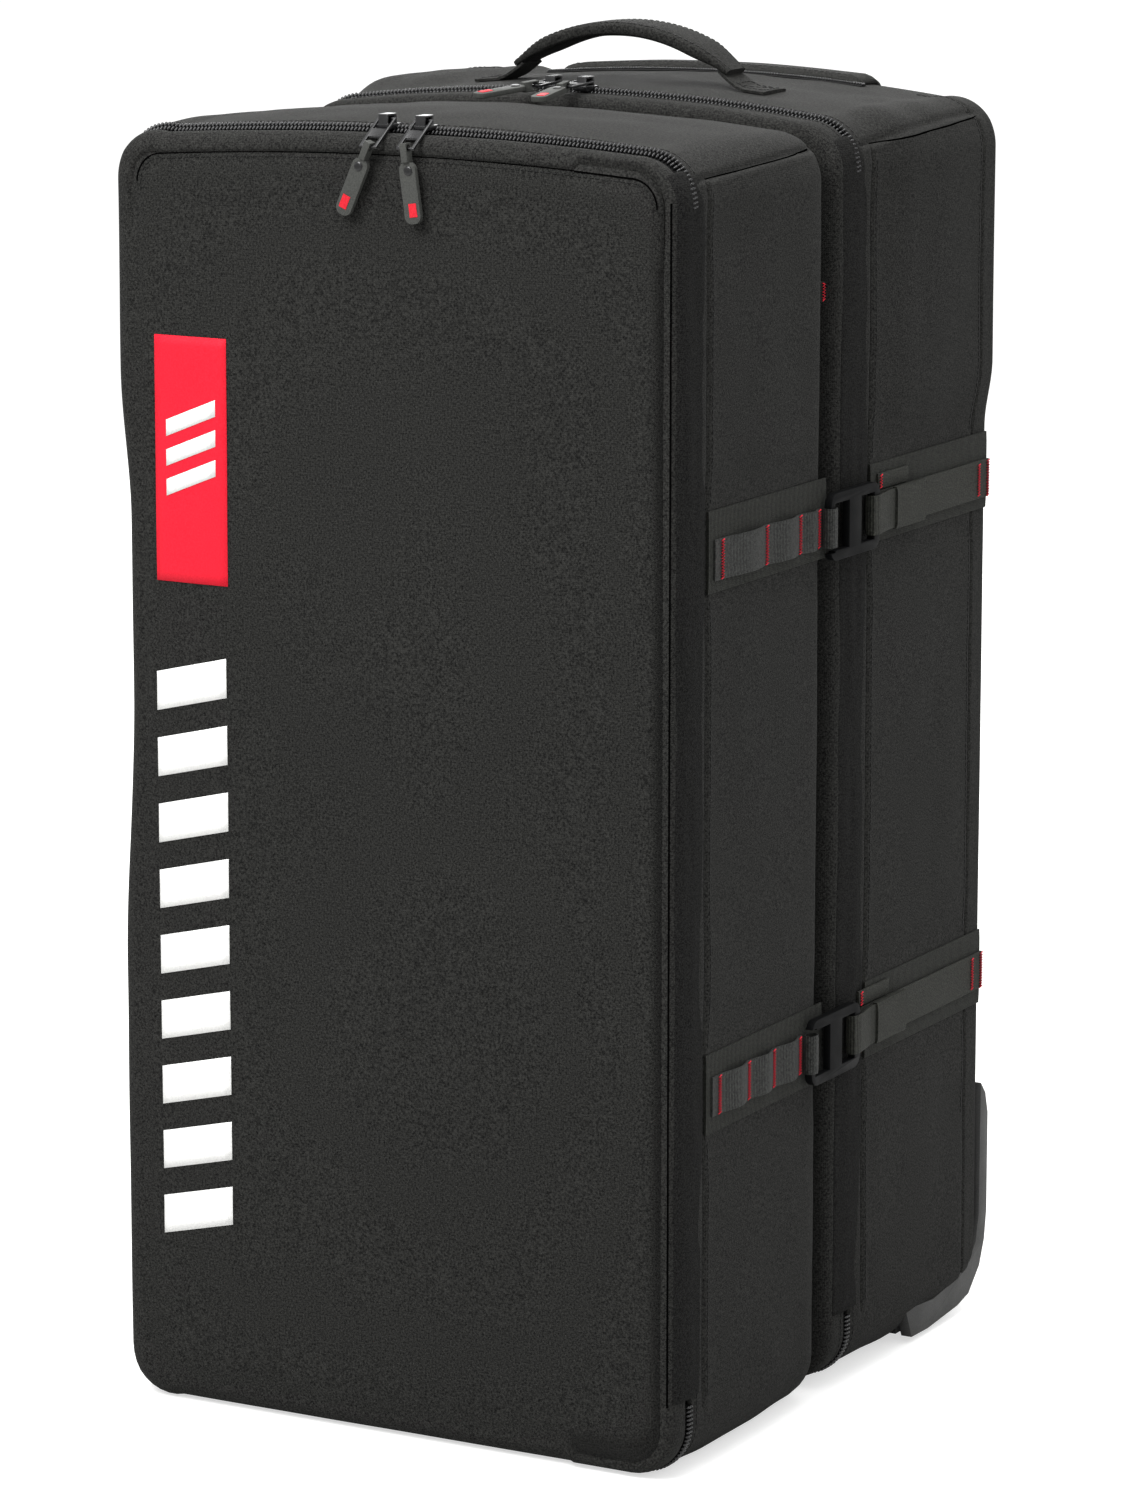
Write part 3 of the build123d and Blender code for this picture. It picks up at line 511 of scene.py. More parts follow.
def joined(name, parts):
    """One piece made of several."""
    work = bmesh.new()
    for part in parts:
        work.from_mesh(part.data)
    mesh = bpy.data.meshes.new(name)
    for material in parts[0].data.materials:
        mesh.materials.append(material)
    work.to_mesh(mesh)
    work.free()
    obj = bpy.data.objects.new(name, mesh)
    bpy.context.scene.collection.objects.link(obj)
    for part in parts:
        bpy.data.objects.remove(part, do_unlink=True)
    return obj


def line(start, end, count):
    """Points on a straight run, both ends included."""
    return [tuple(np.array(start) + (np.array(end) - np.array(start)) * i / count) for i in range(count + 1)]


# ---------------------------------------------------------------- stitches and zip coils

def row_tree():
    """Node tree that sets a shape along a path, square to it and to the path's out vectors."""
    tree = bpy.data.node_groups.new("shape_along_path", "GeometryNodeTree")
    for word, kind, way in (
        ("Path", "Geometry", "INPUT"), ("Shape", "Object", "INPUT"), ("Spacing", "Float", "INPUT"),
        ("Unevenness", "Float", "INPUT"), ("Seed", "Int", "INPUT"), ("Finish", "Material", "INPUT"),
        ("Row", "Geometry", "OUTPUT"),
    ):
        tree.interface.new_socket(name=word, in_out=way, socket_type="NodeSocket" + kind)
    given = add(tree, "NodeGroupInput")
    line = add(tree, "GeometryNodeMeshToCurve", links={"Mesh": given.outputs["Path"]})
    spaced = add(tree, "GeometryNodeResampleCurve", {"mode": "LENGTH"},
                 {"Curve": line.outputs[0], "Length": given.outputs["Spacing"]})
    run = add(tree, "GeometryNodeInputTangent")
    out = add(tree, "GeometryNodeInputNamedAttribute", {"data_type": "FLOAT_VECTOR", "Name": "out"})
    turn = add(tree, "FunctionNodeAxesToRotation", {"primary_axis": "X", "secondary_axis": "Z"},
               {0: run.outputs[0], 1: out.outputs[0]})
    shape = add(tree, "GeometryNodeObjectInfo", links={"Object": given.outputs["Shape"]})
    low = add(tree, "ShaderNodeMath", {"operation": "SUBTRACT", 0: 1.0}, {1: given.outputs["Unevenness"]})
    vary = add(tree, "FunctionNodeRandomValue", {"data_type": "FLOAT", 3: 1.0},
               {2: low.outputs[0], "Seed": given.outputs["Seed"]})
    spread = add(tree, "GeometryNodeInstanceOnPoints",
                 links={"Points": spaced.outputs[0], "Instance": shape.outputs["Geometry"],
                        "Rotation": turn.outputs[0], "Scale": vary.outputs[1]})
    real = add(tree, "GeometryNodeRealizeInstances", links={0: spread.outputs[0]})
    finish = add(tree, "GeometryNodeSetMaterial", links={0: real.outputs[0], "Material": given.outputs["Finish"]})
    add(tree, "NodeGroupOutput", links={0: finish.outputs[0]})
    return tree


ROW_TREE = row_tree()


def rod(length, wide, high, sides, bow=0.0):
    """A short rounded bar along X, with its middle raised by bow: a stitch or a coil turn."""
    rings = []
    for share, fat in ((-0.5, 0.35), (-0.3, 1.0), (0.3, 1.0), (0.5, 0.35)):
        for i in range(sides):
            turn = 2 * math.pi * i / sides
            rings.append((length * share, fat * wide / 2 * math.cos(turn),
                          fat * high / 2 * math.sin(turn) + bow * (fat - 0.35)))
    faces = [(r * sides + i, r * sides + (i + 1) % sides, (r + 1) * sides + (i + 1) % sides, (r + 1) * sides + i)
             for r in range(3) for i in range(sides)]
    faces += [tuple(range(sides - 1, -1, -1)), tuple(range(3 * sides, 4 * sides))]
    mesh = bpy.data.meshes.new("rod")
    mesh.from_pydata([tuple(c / 1000 for c in p) for p in rings], [], faces)
    mesh.polygons.foreach_set("use_smooth", [True] * len(faces))
    obj = bpy.data.objects.new("rod", mesh)
    bpy.context.scene.collection.objects.link(obj)
    return obj


def repeat(name, paths, shape, spacing, material, uneven=0.0, seed=1):
    """A shape repeated along paths; each path is its points in mm and its out vectors."""
    points, outs, edges = [], [], []
    for line, out in paths:
        first = len(points)
        points += [tuple(p) for p in metres(line)]
        outs += [tuple(o) for o in np.broadcast_to(np.asarray(out, float), (len(line), 3))]
        edges += [(first + i, first + i + 1) for i in range(len(line) - 1)]
    mesh = bpy.data.meshes.new(name)
    mesh.from_pydata(points, edges, [])
    layer = mesh.attributes.new("out", "FLOAT_VECTOR", "POINT")
    layer.data.foreach_set("vector", np.array(outs, np.float32).ravel())
    obj = bpy.data.objects.new(name, mesh)
    bpy.context.scene.collection.objects.link(obj)
    row = obj.modifiers.new("row", "NODES")
    row.node_group = ROW_TREE
    given = {"Shape": shape, "Spacing": spacing / 1000, "Unevenness": uneven, "Seed": seed, "Finish": material}
    for item in ROW_TREE.interface.items_tree:
        if item.name in given:
            row[item.identifier] = given[item.name]
    bake(obj)
    for polygon in obj.data.polygons:
        polygon.use_smooth = True
    bpy.data.objects.remove(shape, do_unlink=True)
    return obj


def tree_of(obj):
    """Search tree of a piece's surface, in mm with depths."""
    points = np.array([v.co for v in obj.data.vertices]) * 1000
    points[:, 1] += DEPTH_CENTRE
    return BVHTree.FromPolygons([Vector(p) for p in points], [tuple(f.vertices) for f in obj.data.polygons])


def lay(tree, starts, aim, lift):
    """Points pushed along aim on to a surface and lifted off it again by lift."""
    laid = []
    for start, way in zip(starts, np.broadcast_to(np.asarray(aim, float), (len(starts), 3))):
        hit, _, _, _ = tree.ray_cast(Vector(start) - Vector(way) * 40, Vector(way), 80)
        laid.append(np.array(hit if hit is not None else start) - way * lift)
    return np.array(laid)


def sewn(name, body, slot_name, tree, lines, material=None, pitch=4.0, lift=0.1, seed=3):
    """Rows of lock stitches on a surface; each line is its points and the way down to it."""
    paths = []
    for points, aim in lines:
        laid = lay(tree, points, aim, lift)
        paths.append((laid, -np.broadcast_to(np.asarray(aim, float), laid.shape)))
    shape = rod(pitch * 0.8, 0.9, 0.6, 5, 0.12)
    return settle(repeat(name, paths, shape, pitch, material or STITCH, 0.12, seed), body, slot_name)


def bar_tacks(name, body, places_list, slot_name="webbing_dark"):
    """Dense zigzag stitching in red thread; each place is x, depth, z, its width and height."""
    curve = bpy.data.curves.new(name, "CURVE")
    curve.dimensions = "3D"
    curve.bevel_depth = 0.00045
    curve.bevel_resolution = 1
    for x, depth, z, wide, high in places_list:
        count = int(high / 0.85)
        line = curve.splines.new("POLY")
        line.points.add(count)
        for i, point in enumerate(line.points):
            side = 1 if i % 2 else -1
            at = (x, depth + side * wide / 2, z - high / 2 + high * i / count)
            point.co = (*metres([at])[0], 1)
    obj = bpy.data.objects.new(name, curve)
    bpy.context.scene.collection.objects.link(obj)
    graph = bpy.context.evaluated_depsgraph_get()
    graph.update()
    mesh = bpy.data.meshes.new_from_object(obj.evaluated_get(graph))
    bpy.data.objects.remove(obj, do_unlink=True)
    mesh.materials.clear()
    mesh.materials.append(THREAD)
    obj = bpy.data.objects.new(name, mesh)
    bpy.context.scene.collection.objects.link(obj)
    return settle(obj, body, slot_name)


def zip_path(shape, inset, low=44.0, high=755.0, spacing=3.0):
    """Outline from the right-hand side at high, over the top and round to low again."""
    where = places(spacing)
    flat, normals = loop(shape, inset, where)
    if shape is FRONT_SHAPE:
        flat = flat + normals * left_slack(flat[:, 0], flat[:, 1])[:, None]
    hinge = [(k == 2) and low < p[1] < high for (k, _), p in zip(where, flat)]
    first = max(i for i, gone in enumerate(hinge) if gone) + 1
    order = [(first + i) % len(where) for i in range(len(where)) if not hinge[(first + i) % len(where)]]
    return flat[order], normals[order]


def coil_zip(name, shape, depth, front_body, back_body, nodes):
    """Both halves of a coil zip round a section: a tape and a row of coil turns on each body."""
    for word, body, way, node in (("front", front_body, -1, nodes[0]), ("rear", back_body, 1, nodes[1])):
        flat, normals = zip_path(shape, 1.9)
        lean = np.clip((normals[:, 1] - 0.3) / 0.5, 0, 1)
        out = np.stack([normals[:, 0], 0 * normals[:, 0], normals[:, 1]], 1)
        tape_path = np.stack([flat[:, 0], np.full(len(flat), depth + way * 1.75), flat[:, 1]], 1)
        tape_path += out * (way * 1.1 * lean)[:, None]
        across = out * (0.65 * lean)[:, None] + (0, 1, 0)
        tape = ribbon(f"{name}_tape_{word}", tape_path, across, 1.35, 1.6, TAPE, sides=8)
        settle(tape, body, "zip_tape", node)
        coil_path = tape_path + out * 2.1
        coil_path[:, 1] = depth + way * 1.25
        outs = out - np.stack([0 * lean, 0.65 * lean, 0 * lean], 1)
        if way > 0:
            coil_path[:-1] += (coil_path[1:] - coil_path[:-1]) * 0.25
        turns = rod(4.2, 1.7, 2.8, 6, 0.4)
        turns.data.transform(Matrix.Rotation(math.pi / 2, 4, "Z"))
        row = repeat(f"{name}_coil_{word}", [(coil_path, outs)], turns, 2.6, COIL, 0.04, 5)
        settle(row, body, "zip_tape")


# ---------------------------------------------------------------- padded shells

BANDS = (228.0, 552.0)


def at_top(z):
    """0 below the top corners, rising to 1 on the top."""
    return np.clip((z - 742) / 30, 0, 1)


def at_side(x):
    """0 between the side walls, rising to 1 on the +X one."""
    return np.clip((x - FLAT_HALF) / 25, 0, 1)


def left_slack(x, z):
    """The soft left wall stands out above and below the strap, which pulls it in between."""
    return at_side(-x) * (6.0 * window(z, 640, 800, 90) + 7.5 * window(z, 20, 270, 170))


def crown(x, z):
    """1 on the flat of the top, falling to 0 down its corners."""
    return at_top(z) * np.clip(1 - (x / 165) ** 2, 0, 1)


def side_puff(front, back, swell, wrinkle, seam, seed):
    """How far a section's wall stands out: padding between its seams, pulled flat under the
    webbing bands, with a seam along the side's top and behind the hinge strip."""
    def out(p):
        x, depth, z = p.T
        share = np.clip((depth - front) / (back - front), 0, 1)
        pulled = np.ones(len(p))
        for level in BANDS:
            pulled = np.minimum(pulled, 1 - 0.93 * window(z, level - 27, level + 27, 30) * (np.abs(x) > 180))
        body = swell * np.sin(math.pi * share) ** 0.7 * pulled
        creased = (wrinkle * wander(p, 95, seed) + 0.45 * wrinkle * wander(p * (1, 1, 1.6), 34, seed + 9)) * pulled
        creased += 0.9 * wrinkle * wander(p * (1, 1, 0.3), 40, seed + 4) * pulled
        creased *= np.minimum(1, 6 * share * (1 - share) + 0.15)
        side = (np.abs(x) > 186) & (z > 40)
        seams = np.where(side, groove(depth, seam, 1.3, 1.5) - 0.4 * groove(depth, seam + 4, 2.0, 1.0), 0)
        top_seam = 768 + 6 * share + (3 if front > 200 else 0)
        seam_line = groove(z, top_seam, 1.5, 1.9) - groove(z, top_seam - 3.4, 2.0, 0.7)
        seams = seams + np.where(np.abs(x) > 150, seam_line, 0) * window(share, 0.06, 0.93, 0.05)
        filled = 1.3 * at_top(z) * window(share, 0.0, 0.3, 0.3)
        bow = np.sin(math.pi * share) ** 0.7
        if front < 200:
            filled += 4.5 * crown(x, z) * bow + left_slack(x, z) * window(depth, 0, 60, 90)
        else:
            filled += 6.0 * at_top(z) * window(x, -172, -138, 24) * window(depth, 290, 430, 50)
            filled += 5.0 * at_side(np.abs(x)) * window(z, 622, 800, 42) * window(depth, 300, 430, 50)
        return body + creased + seams + filled
    return out


def lid_bulge(p):
    """Front of the lid: shallow padding with a few soft waves."""
    x, _, z = p.T
    across = np.clip(1 - (x / 178) ** 2, 0, 1)
    up = np.clip(1 - ((z - 388) / 380) ** 2, 0, 1)
    swell = -3.2 * np.sqrt(across * up)
    return swell + 0.9 * wander(p, 150, 3.0) * np.sqrt(across * up) + 0.25 * wander(p, 45, 5.0)


def round_edge(radius, steps):
    """Depth and inset offsets round a quarter edge, from its face to its wall."""
    turns = np.linspace(0, math.pi / 2, steps + 1)
    return [(radius * (1 - math.cos(t)), radius * (1 - math.sin(t))) for t in turns]


ZIP_SLOPE = 2.6


def lid_side(p):
    """The lid's edge: square on the hinge side, slack on the left, and sloping to the zip on top."""
    x, depth, z = p.T
    sloped = -ZIP_SLOPE * at_top(z) * np.clip((depth - 6) / 11, 0, 1) ** 1.2
    tight = np.where(x > 120, 0.62, 0.0) * (12 - np.sqrt(np.maximum(144 - np.clip(12 - depth, 0, 12) ** 2, 0)))
    return tight + sloped + left_slack(x, z) + 0.35 * wander(p, 70, 2.0)


def make_lid():
    rows = face(FRONT_SHAPE, 0.0, 12.0, 0, 26, lid_bulge)[:0:-1]
    groove_rows = [(0.15, 15.0, 0), (1.1, 13.7, 0), (1.5, 13.0, 0), (0.9, 12.2, 0), (0.1, 11.3, 0)]
    welt = wall(FRONT_SHAPE, groove_rows, lid_side)
    for points, _, _ in welt:
        points[:, 1] *= 0.1 + 0.9 * window(points[:, 2], 742, 800, 25)
    edge = [(d, i, 0) for d, i in round_edge(12.0, 9)][1:]
    rows += welt + wall(FRONT_SHAPE, edge + [(14.5, 0.0, 0), (16.6, 0.6, 0), (17.4, 2.6, 0)], lid_side)
    rows += wall(FRONT_SHAPE, [(17.4, 8.0, 1), (17.0, 13.2, 1)])
    rows += wall(FRONT_SHAPE, [(15.5, 14.0, 1), (11.0, 14.2, 1), (7.0, 15.0, 1)])
    rows += face(FRONT_SHAPE, 5.2, 18.0, 1, 16, lambda p: 0.6 * wander(p, 120, 4.0))
    return skin("lid_skin", rows, [CLOTH, LINING])


def make_front_section():
    """Front gusset, the divider at its back, the groove round its core and the rear lid."""
    puff = side_puff(22, 193, 2.4, 1.0, FRONT_SEAM, 1.0)
    rows = face(FRONT_SHAPE, 190.0, 9.0, 1, 16, lambda p: 0.8 * wander(p, 120, 6.0))[::-1]
    inner = [(188.0, 5.5, 1)] + [(d, 4.4, 1) for d in np.linspace(180, 30, 14)] + [(24.0, 4.0, 1)]
    rows += wall(FRONT_SHAPE, inner)
    outer = [(22.2, 3.0, 1), (22.2, 1.0, 0), (23.5, 0.0, 0)]
    outer += [(d, 0.0, 0) for d in np.concatenate([np.arange(27, 34, 3.5), np.arange(34.5, 44, 1.2),
                                                   np.arange(48, 178, 5.0)])]
    outer += [(181.0, 0.5, 0), (184.5, 1.3, 0), (187.6, 2.6, 0), (190.2, 4.4, 0), (192.4, 6.8, 0), (194.2, 9.8, 0),
              (195.2, 13.0, 0)]
    rows += wall(FRONT_SHAPE, outer, puff)
    rows += wall(FRONT_SHAPE, [(195.8, 15.8, 0), (198.5, 16.4, 0), (203.5, 16.4, 0), (206.2, 15.2, 0)])
    lip = [(206.8, 11.0, 0), (207.2, 7.0, 0), (208.2, 3.8, 0), (210.0, 1.6, 0), (212.8, 0.4, 0), (216.0, 0.0, 0),
           (221.0, 0.0, 0), (226.0, 0.0, 0), (228.6, 0.2, 0), (230.0, 1.2, 0), (230.0, 3.2, 1)]
    rows += wall(REAR_SHAPE, lip, lambda p: 0.5 * wander(p, 60, 8.0))
    rows += wall(REAR_SHAPE, [(228.0, 4.2, 1), (220.0, 4.4, 1), (213.5, 6.0, 1)])
    rows += face(REAR_SHAPE, 211.6, 9.0, 1, 16, lambda p: 0.6 * wander(p, 120, 7.0))
    return skin("front_section_skin", rows, [CLOTH, LINING])


def back_bulge(p):
    """Back panel: shallow padding quilted in upright channels between the handle's tubes."""
    x, _, z = p.T
    across = np.clip(1 - (x / 165) ** 2, 0, 1)
    up = np.clip((z - 140) / 60, 0, 1) * np.clip((735 - z) / 60, 0, 1)
    channel = sum(groove(x, c, 2.2, 1.6) for c in (-118, -40, 40, 118)) * (up > 0.02)
    return 2.0 * np.sqrt(across * up) + channel * np.minimum(1, up * 3) + 0.4 * wander(p, 110, 12.0)


def make_rear_section():
    puff = side_puff(235, 414, 2.2, 1.1, REAR_SEAM, 2.0)

    def seamed(p):
        return puff(p) + np.where(np.abs(p[:, 0]) > 150, groove(p[:, 1], CORNER_SEAM, 1.3, 1.5), 0)
    rows = face(REAR_SHAPE, 428.0, 10.0, 0, 26, back_bulge)[::-1]
    edge = [(428.0 - d, i, 0) for d, i in round_edge(10.0, 6)][1:]
    outer = [(d, 0.0, 0) for d in np.concatenate([np.arange(414, 406, -4.0), np.arange(405, 397, -1.2),
                                                  np.arange(394, 258, -5.0), np.arange(256, 247, -1.2),
                                                  np.arange(244, 237, -3.0)])]
    rows += wall(REAR_SHAPE, edge + outer + [(235.4, 0.4, 0), (234.8, 1.6, 0)], seamed)
    inner = [(235.2, 3.6, 1), (237.0, 4.4, 1)] + [(d, 4.4, 1) for d in np.linspace(245, 390, 14)]
    rows += wall(REAR_SHAPE, inner + [(398.0, 6.0, 1)])
    rows += face(REAR_SHAPE, 400.0, 9.0, 1, 16, lambda p: 0.6 * wander(p, 120, 14.0))
    obj = skin("rear_section_skin", rows, [CLOTH, LINING])
    cutters = []
    guard_line = [(318.5, -20), (318.5, 20), (334, 20.5), (360, 18.6), (392, 22.5), (412, 28.5), (423.6, 41),
                  (427.0, 60), (450, 60), (450, -20)]
    wheel_room = [(316, -20), (316, 132), (445, 132), (445, -20)]
    for side in (-1, 1):
        cutters.append(prism("cut", wheel_room, side * 128, side * 181.6, CLOTH))
        cutters.append(prism("cut", guard_line, side * 181.3, side * 215, CLOTH))
    cup_slot = [(401.5, 741), (401.5, 830), (424.2, 830), (424.2, 741)]
    cutters.append(prism("cut", cup_slot, -105, 105, CLOTH))
    cut_out(obj, *cutters)
    return obj


lid = make_lid()
front_section = make_front_section()
rear_section = make_rear_section()
lid_tree, front_tree, rear_tree = tree_of(lid), tree_of(front_section), tree_of(rear_section)
settle(lid, "front_lid", "fabric_black", "lid_panel")
settle(front_section, "front_bag", "fabric_black", "front_gusset", "divider_panel", "rear_lid_panel")
settle(rear_section, "rear_bag", "fabric_black", "rear_gusset", "rear_back_panel")


# ---------------------------------------------------------------- hinge strips on the right

def hinge_strip(name, shape, start, end, low, high, lid_edge, seed):
    """Soft strip of cloth that hinges two parts of the bag. It bows between its two seams,
    with upright folds and slanting creases."""
    where = [p for p in places(3.5) if p[0] in (1, 2, 3)]
    flat, normals = loop(shape, 0.0, where)
    keep = (flat[:, 1] > low) & (flat[:, 1] < high) & (flat[:, 0] > 168)
    flat, normals = flat[keep], normals[keep]
    cols = np.linspace(0, 1, 23)
    rows = []
    for (x, z), n in zip(flat, normals):
        depth = start + (end - start) * cols
        p = np.stack([np.full(len(cols), x), depth, np.full(len(cols), z)], 1)
        bow = 2.0 * np.sin(math.pi * cols) ** 0.6 - 0.5
        folds = 1.2 * wander(p * (1, 2.6, 0.32), 30, seed)
        folds += 0.7 * wander(p * (1, 1.6, 0.9) + (0, z * 0.55, 0), 26, seed + 4)
        near_end = min(1.0, (z - low) / 25, (high - z) / 18)
        out = bow + folds * np.sin(math.pi * cols) * max(0.15, near_end)
        if lid_edge:
            out -= 0.36 * (12 - np.sqrt(np.maximum(144 - np.clip(12 - depth, 0, 12) ** 2, 0)))
        p[:, 0] += n[0] * out
        p[:, 2] += n[1] * out
        rows.append(p)
    grid = np.array(rows)
    m = len(cols)
    inner = grid.copy()
    inner[:, :, 0] -= normals[:, None, 0] * 1.1
    inner[:, :, 2] -= normals[:, None, 1] * 1.1
    points = np.concatenate([grid.reshape(-1, 3), inner.reshape(-1, 3)])
    faces, uv, half = [], [], len(rows) * m
    for r in range(len(rows) - 1):
        for c in range(m - 1):
            quad = [r * m + c, r * m + c + 1, (r + 1) * m + c + 1, (r + 1) * m + c]
            for corner in (quad, [i + half for i in reversed(quad)]):
                faces.append(corner)
                uv += [(points[i][1] / 1000, points[i][2] / 1000) for i in corner]
    rim = ([c for c in range(m)] + [r * m + m - 1 for r in range(1, len(rows))]
           + [(len(rows) - 1) * m + c for c in range(m - 2, -1, -1)] + [r * m for r in range(len(rows) - 2, 0, -1)])
    for a, b in zip(rim, rim[1:] + rim[:1]):
        corner = [a, a + half, b + half, b]
        faces.append(corner)
        uv += [(points[i][1] / 1000, points[i][2] / 1000) for i in corner]
    # The strip's darker cloth is painted shade.
    obj = piece(name, points, faces, [SHADED_STRIP_CLOTH], uv)
    outward(obj)
    middle = (start + end) / 2 if not lid_edge else 20.0
    metres([(188.5, middle - 9, 400)])[0].tolist()
    metres([(188.5, middle + 9, 400)])[0].tolist()
    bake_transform(obj)
    return obj


hinge_strip("front_hinge_strip", FRONT_SHAPE, 1.5, 36.5, 44.0, 774.0, True, 21.0)
hinge_strip("rear_hinge_strip", REAR_SHAPE, 213.0, 251.0, 46.0, 778.0, False, 31.0)


# ---------------------------------------------------------------- zips

coil_zip("front_zip", FRONT_SHAPE, FRONT_ZIP, "front_lid", "front_bag",
         ("front_zip_tape_lid", "front_zip_tape_shell"))
coil_zip("mid_zip", REAR_SHAPE, MID_ZIP, "front_bag", "rear_bag", ("mid_zip_tape_front", "mid_zip_tape_rear"))


# ---------------------------------------------------------------- seam stitching

def round_line(shape, inset, depth, spacing=4.0, keep=None):
    """Closed line round a section at a depth, with the way down on to its wall."""
    flat, normals = loop(shape, inset, places(spacing))
    points = np.stack([flat[:, 0], np.full(len(flat), float(depth)), flat[:, 1]], 1)
    aims = -np.stack([normals[:, 0], 0 * normals[:, 0], normals[:, 1]], 1)
    if keep is None:
        return [(np.concatenate([points, points[:1]]), np.concatenate([aims, aims[:1]]))]
    lines, run = [], []
    for i, p in enumerate(points):
        if keep(p):
            run.append(i)
        elif run:
            lines.append(run)
            run = []
    if run:
        lines.append(run)
    return [(points[line], aims[line]) for line in lines if len(line) > 2]


def off_hinge(p):
    return not (p[0] > 180 and 46 < p[2] < 772)


def clear_of_bands(p):
    return abs(p[0]) < 180 or all(abs(p[2] - level) > 27 for level in BANDS)


INTO_LID = (0.0, 1.0, 0.0)


def seam_shadow_cord(name, body, tree, lines, half=0.6):
    """A thin black cord laid in a seam: painted shade of the fold where two panels are sewn together."""
    made = []
    for points, aim in lines:
        laid = lay(tree, points, aim, -0.1)
        side = np.cross(np.gradient(laid, axis=0), np.broadcast_to(np.asarray(aim, float), laid.shape))
        made.append(ribbon("seam", laid, side / np.linalg.norm(side, axis=1)[:, None], half, 0.7, SEAM_SHADE, sides=6))
    settle(joined(name, made), body, "fabric_black")


def along_wall(side, z0, z1, start, end):
    """Line along a side wall from one depth to another, and the way in to it."""
    steps = int((end - start) / 3)
    return ([(side * 188.5, start + (end - start) * i / steps, z0 + (z1 - z0) * i / steps) for i in range(steps + 1)],
            (-float(side), 0.0, 0.0))


lid_top = [(points, INTO_LID) for points, _ in round_line(FRONT_SHAPE, 15.6, 0.0, keep=lambda p: p[2] > 748)]
sewn("lid_stitching", "front_lid", "fabric_black", lid_tree, lid_top)
# Black cords along the lid's top seams and its right-hand edge crease: painted shade of those folds.
lid_seams = [(points, INTO_LID) for points, _ in round_line(FRONT_SHAPE, 13.1, 0.0, 3.0, keep=lambda p: p[2] > 752)]
lid_seams.append(([(184.4, 0.0, z) for z in np.arange(46.0, 762.0, 4.0)], INTO_LID))
seam_shadow_cord("lid_seams", "front_lid", lid_tree, lid_seams)
def beside_strip(p, foot=45):
    """The run of a side wall's seam that lies along a hinge strip, from `foot` up."""
    return p[0] > 187 and foot < p[2] < 758 and clear_of_bands(p)


seam_shadow_cord("front_section_seams", "front_bag", front_tree,
            round_line(FRONT_SHAPE, 0, FRONT_SEAM, 3.0, keep=beside_strip)
            + [along_wall(side, 768.2, 773.6, 40.0, 182.0) for side in (-1, 1)])
seam_shadow_cord("rear_section_seams", "rear_bag", rear_tree,
            round_line(REAR_SHAPE, 0, REAR_SEAM, 3.0, keep=lambda p: beside_strip(p, 46))
            + round_line(REAR_SHAPE, 0, CORNER_SEAM, 3.0,
                         keep=lambda p: abs(p[0]) > 150 and p[2] > 135 and clear_of_bands(p))
            + [along_wall(side, 771.4, 776.8, 254.0, 399.0) for side in (-1, 1)])
sewn("front_section_stitching", "front_bag", "fabric_black", front_tree,
     round_line(FRONT_SHAPE, 0, 29.0, keep=off_hinge)
     + round_line(FRONT_SHAPE, 0, 41.5, keep=lambda p: abs(p[0]) > 187 and 45 < p[2] < 760 and clear_of_bands(p))
     + round_line(REAR_SHAPE, 0, 224.0, keep=off_hinge))
sewn("rear_section_stitching", "rear_bag", "fabric_black", rear_tree,
     round_line(REAR_SHAPE, 0, 241.0, keep=off_hinge)
     + round_line(REAR_SHAPE, 0, 256.0, keep=lambda p: abs(p[0]) > 187 and 46 < p[2] < 762 and clear_of_bands(p))
     + round_line(REAR_SHAPE, 0, 396.5, keep=lambda p: abs(p[0]) > 150 and p[2] > 135 and clear_of_bands(p))
     + [([(x, 428, z) for z in np.arange(150, 730, 4)], (0.0, -1.0, 0.0)) for x in (-118, -40, 40, 118)])


# ---------------------------------------------------------------- print on the lid

def printed(name, shapes, material, lift):
    """Thin print on the lid's face: each shape is its four corners as (x, z)."""
    points, faces = [], []
    for corners in shapes:
        a, b, c, d = (np.array(p, float) for p in corners)
        wide = max(2, int(np.linalg.norm(b - a) / 6))
        high = max(2, int(np.linalg.norm(d - a) / 6))
        first = len(points)
        grid = [(a + (b - a) * i / wide) * (1 - j / high) + (d + (c - d) * i / wide) * j / high
                for j in range(high + 1) for i in range(wide + 1)]
        points += [tuple(p) for p in lay(lid_tree, [(x, 0.0, z) for x, z in grid], (0.0, 1.0, 0.0), lift)]
        for j in range(high):
            for i in range(wide):
                k = first + j * (wide + 1) + i
                faces.append((k, k + 1, k + wide + 2, k + wide + 1))
    obj = piece(name, points, faces, [material])
    thick = obj.modifiers.new("ink", "SOLIDIFY")
    thick.thickness = 0.00025
    thick.offset = 0.0
    bake(obj)
    outward(obj)
    return settle(obj, "front_lid", "fabric_black")


printed("red_print", [[(-164, 514), (-113, 514), (-113, 663), (-164, 663)]], RED_PRINT, 0.3)
stripes = [[(-156, z), (-121, z + 14), (-121, z + 24), (-156, z + 10)] for z in (566, 584, 602)]
blocks = [[(-165, z), (-115, z + 12), (-115, z + 36), (-165, z + 24)] for z in range(106, 470, 41)]
printed("white_print_on_red", stripes, WHITE_PRINT, 0.62)
printed("white_print", blocks, WHITE_PRINT, 0.3)


# ---------------------------------------------------------------- side straps

